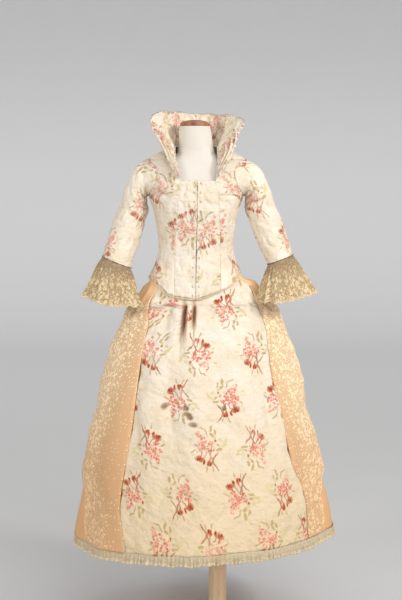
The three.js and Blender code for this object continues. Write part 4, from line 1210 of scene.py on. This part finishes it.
def hem_flounces():
    """Gathered lace at the hem: it hangs from the skirt's edge in narrow folds whose depth grows downwards,
    with a scalloped lower edge; four lengths meet end to end."""
    flounces = [("front", -36, 51, 46), ("left", 51, 120, 34), ("right", -120, -36, 40), ("back", 120, 240, 62)]
    for name, start, end, folds in flounces:
        angle = np.linspace(start + 0.03, end - 0.03, folds * 14)[None, :]
        drop = np.linspace(1, 0, 9)[:, None]
        phase = (angle - start) / (end - start) * folds * 2 * math.pi
        wander = 0.9 * np.sin(phase * 0.23) + 0.5 * np.sin(phase * 0.41 + 1)
        push = drop ** 0.8 * (4.4 * np.cos(phase + wander) + 2.0 * np.cos(phase * 0.5 + wander))
        base = on_skirt(angle + 0 * drop, HEM_Z + 0 * angle + 0 * drop, 0.4 + 1.5 * drop)
        outward = stack(base[..., 0] - HEM_X, base[..., 1], 0 * base[..., 2])
        outward /= np.linalg.norm(outward, axis=-1, keepdims=True)
        points = base + outward * push[..., None]
        scallop = 2.0 * np.abs(np.sin(phase * 0.5)) * smoothstep(0.75, 1, drop)
        scallop = scallop + 2.6 * np.sin(phase * 0.13 + 2 * np.sin(phase * 0.071)) * drop
        points[..., 2] = hem_height(points[..., 0]) + 0.4 - (HEM_DEPTH - 1) * drop - scallop
        v = lengths(points, 1)[0:1] + 0 * drop
        uv = np.stack([(1 - drop) * HEM_DEPTH + 0 * v, v], -1) * MM
        piece = mesh_piece(f"hem_lace_{name}", points, HEM_LACE, uv, wall=LACE_WALL,
                           outwards=facing(points, (HEM_X, 0, 320)))
        settle(piece, "hem_lace", f"hem_flounce_{name}")
        declare(points)


def sack_back():
    """Two box pleats from the back of the neck: each a face that widens to the hem, crossed by a shallow
    second fold, and an edge turned under it."""
    for side, sign in (("right", -1), ("left", 1)):
        edge, tuck = np.linspace(100, 112.5, 10)[1:], np.linspace(112.5, 150, 14)[1:]
        along = np.concatenate([np.linspace(0, 100, 60), edge, tuck])[None, :]
        z = np.concatenate([np.linspace(352, 1200, 74), np.linspace(1208, 1648, 46)])[:, None]
        half_width, y = sack_section(z)
        face = np.clip(along / 100, 0, 1)
        under = np.clip((along - 100) / 50, 0, 1)
        reach = half_width * face - 30 * np.maximum(0, under - 0.25) / 0.75
        inward = 6 * smoothstep(0, 0.25, under)
        bulge = 2 * np.sin(math.pi * np.clip(under / 0.25, 0, 1))
        second = -3.0 * bell(face, 0.46, 0.035) * (under == 0) - 2.5 * bell(face, 0.0, 0.04)
        second = second + 1.6 * np.sin(face * 9) * smoothstep(1100, 500, z)
        middle, wide = skirt_section(z)[:2]
        fitted = smoothstep(1180, 1260, z)
        power = mix(2, SQUARENESS, fitted)
        wide = mix(wide, bodice_section(z)[0], fitted) + 16
        x = reach + bulge + SEAM_GAP / 2
        deep = (y - inward + second) * (1 - np.minimum(x / wide, 0.999) ** power) ** (1 / power)
        points = stack(middle + sign * x, deep, z + 0 * x)
        uv = cloth_uv(points, (points[60, 20, 0], 900), SPRAY["buds up"])
        piece = mesh_piece(f"cloth_sack_pleat_{side}", points, BROCADE, uv, wall=CLOTH,
                           outwards=facing(points[:, :50], (SKIRT_MIDDLE[0], 0, 700)))
        settle(piece, "brocade", f"sack_pleat_{side}")
        declare(points)


# ---------------------------------------- stage, light and camera

def paper(name):
    """Pale grey paper with painted light and shade: lighter towards the back and darker up the wall."""
    finish = Finish(name)
    grain = finish.noise(finish.place(), 3.0, 3.0)
    _, depth, height = finish.split(finish.place())
    # Painted light and shade: lighter towards the back of the floor, darker up the wall.
    pale = finish.blend(depth.step(0.3, 6.5), colour(208, 208, 208), colour(230, 230, 230))
    pale = finish.blend(height.step(1.0, 4.4), pale, colour(205, 205, 205))
    finish.set(Base_Color=finish.blend(grain * 0.15, pale, colour(232, 232, 232)), Roughness=0.95)
    return finish.material


def stage():
    """A pale floor that curves up into a back wall."""
    turn = np.linspace(0, 90, 16)
    start, bend = 8500.0, 3000.0
    profile = [(-14000.0, 0.0), (start, 0.0)]
    profile += [(start + bend * math.sin(a), bend - bend * math.cos(a)) for a in np.radians(turn[1:])]
    profile += [(start + bend, 12000.0)]
    y, z = np.array(profile).T
    x = np.array([-14000.0, 14000.0])
    points = stack(x[None, :], y[:, None], z[:, None])
    floor = mesh_piece("floor", points, paper("pale grey paper"))


def hang_light(light, place, target):
    """A lamp at a place, turned to its target, in metres."""
    lamp = bpy.data.objects.new(light.name, light)
    lamp.location = place
    lamp.rotation_euler = (Vector(target) - Vector(place)).to_track_quat("-Z", "Y").to_euler()
    bpy.context.scene.collection.objects.link(lamp)


def area_light(name, place, target, power, size):
    """A square soft lamp."""
    light = bpy.data.lights.new(name, "AREA")
    light.energy, light.size, light.color = power, size, (1.0, 0.985, 0.96)
    hang_light(light, place, target)


def lights():
    """A key from the wearer's left, a weaker fill, a little top light and a broad soft window."""
    area_light("key", (2.3, -1.9, 2.6), (0, 0, 1.3), 58, 0.7)
    area_light("fill", (-2.7, -2.6, 2.3), (0, 0, 1.3), 42, 1.0)
    area_light("top", (0.6, 0.6, 4.0), (0, 0, 1.0), 16, 2.4)
    window = bpy.data.lights.new("window", "SUN")
    window.energy, window.angle = 0.85, math.radians(35)
    hang_light(window, (1.6, -6.0, 3.4), (0, 0, 0))
    world = bpy.data.worlds.new("soft grey")
    world.use_nodes = True
    world.node_tree.nodes["Background"].inputs[0].default_value = (0.93, 0.93, 0.93, 1)
    world.node_tree.nodes["Background"].inputs[1].default_value = 0.50
    bpy.context.scene.world = world
    bpy.context.scene.view_settings.view_transform = "Standard"


def camera():
    """4.86 m in front of the gown at chest height, tilted down a little."""
    lens = bpy.data.cameras.new("camera")
    lens.lens, lens.sensor_width = 84.3, 36.0
    lens.clip_end = 100
    view = bpy.data.objects.new("camera", lens)
    view.location = (-0.058, -4.86, 1.51)
    view.rotation_euler = (math.radians(90 - 4.49), 0, 0)
    bpy.context.scene.collection.objects.link(view)
    bpy.context.scene.camera = view


# ---------------------------------------- assembly

camera()
lights()
stage()
dress_form()
bodice()
piping()
closure_fastenings()
collar()
sleeves()
skirt()
lace_panels()
edge_pearls()
hem_flounces()
sack_back()
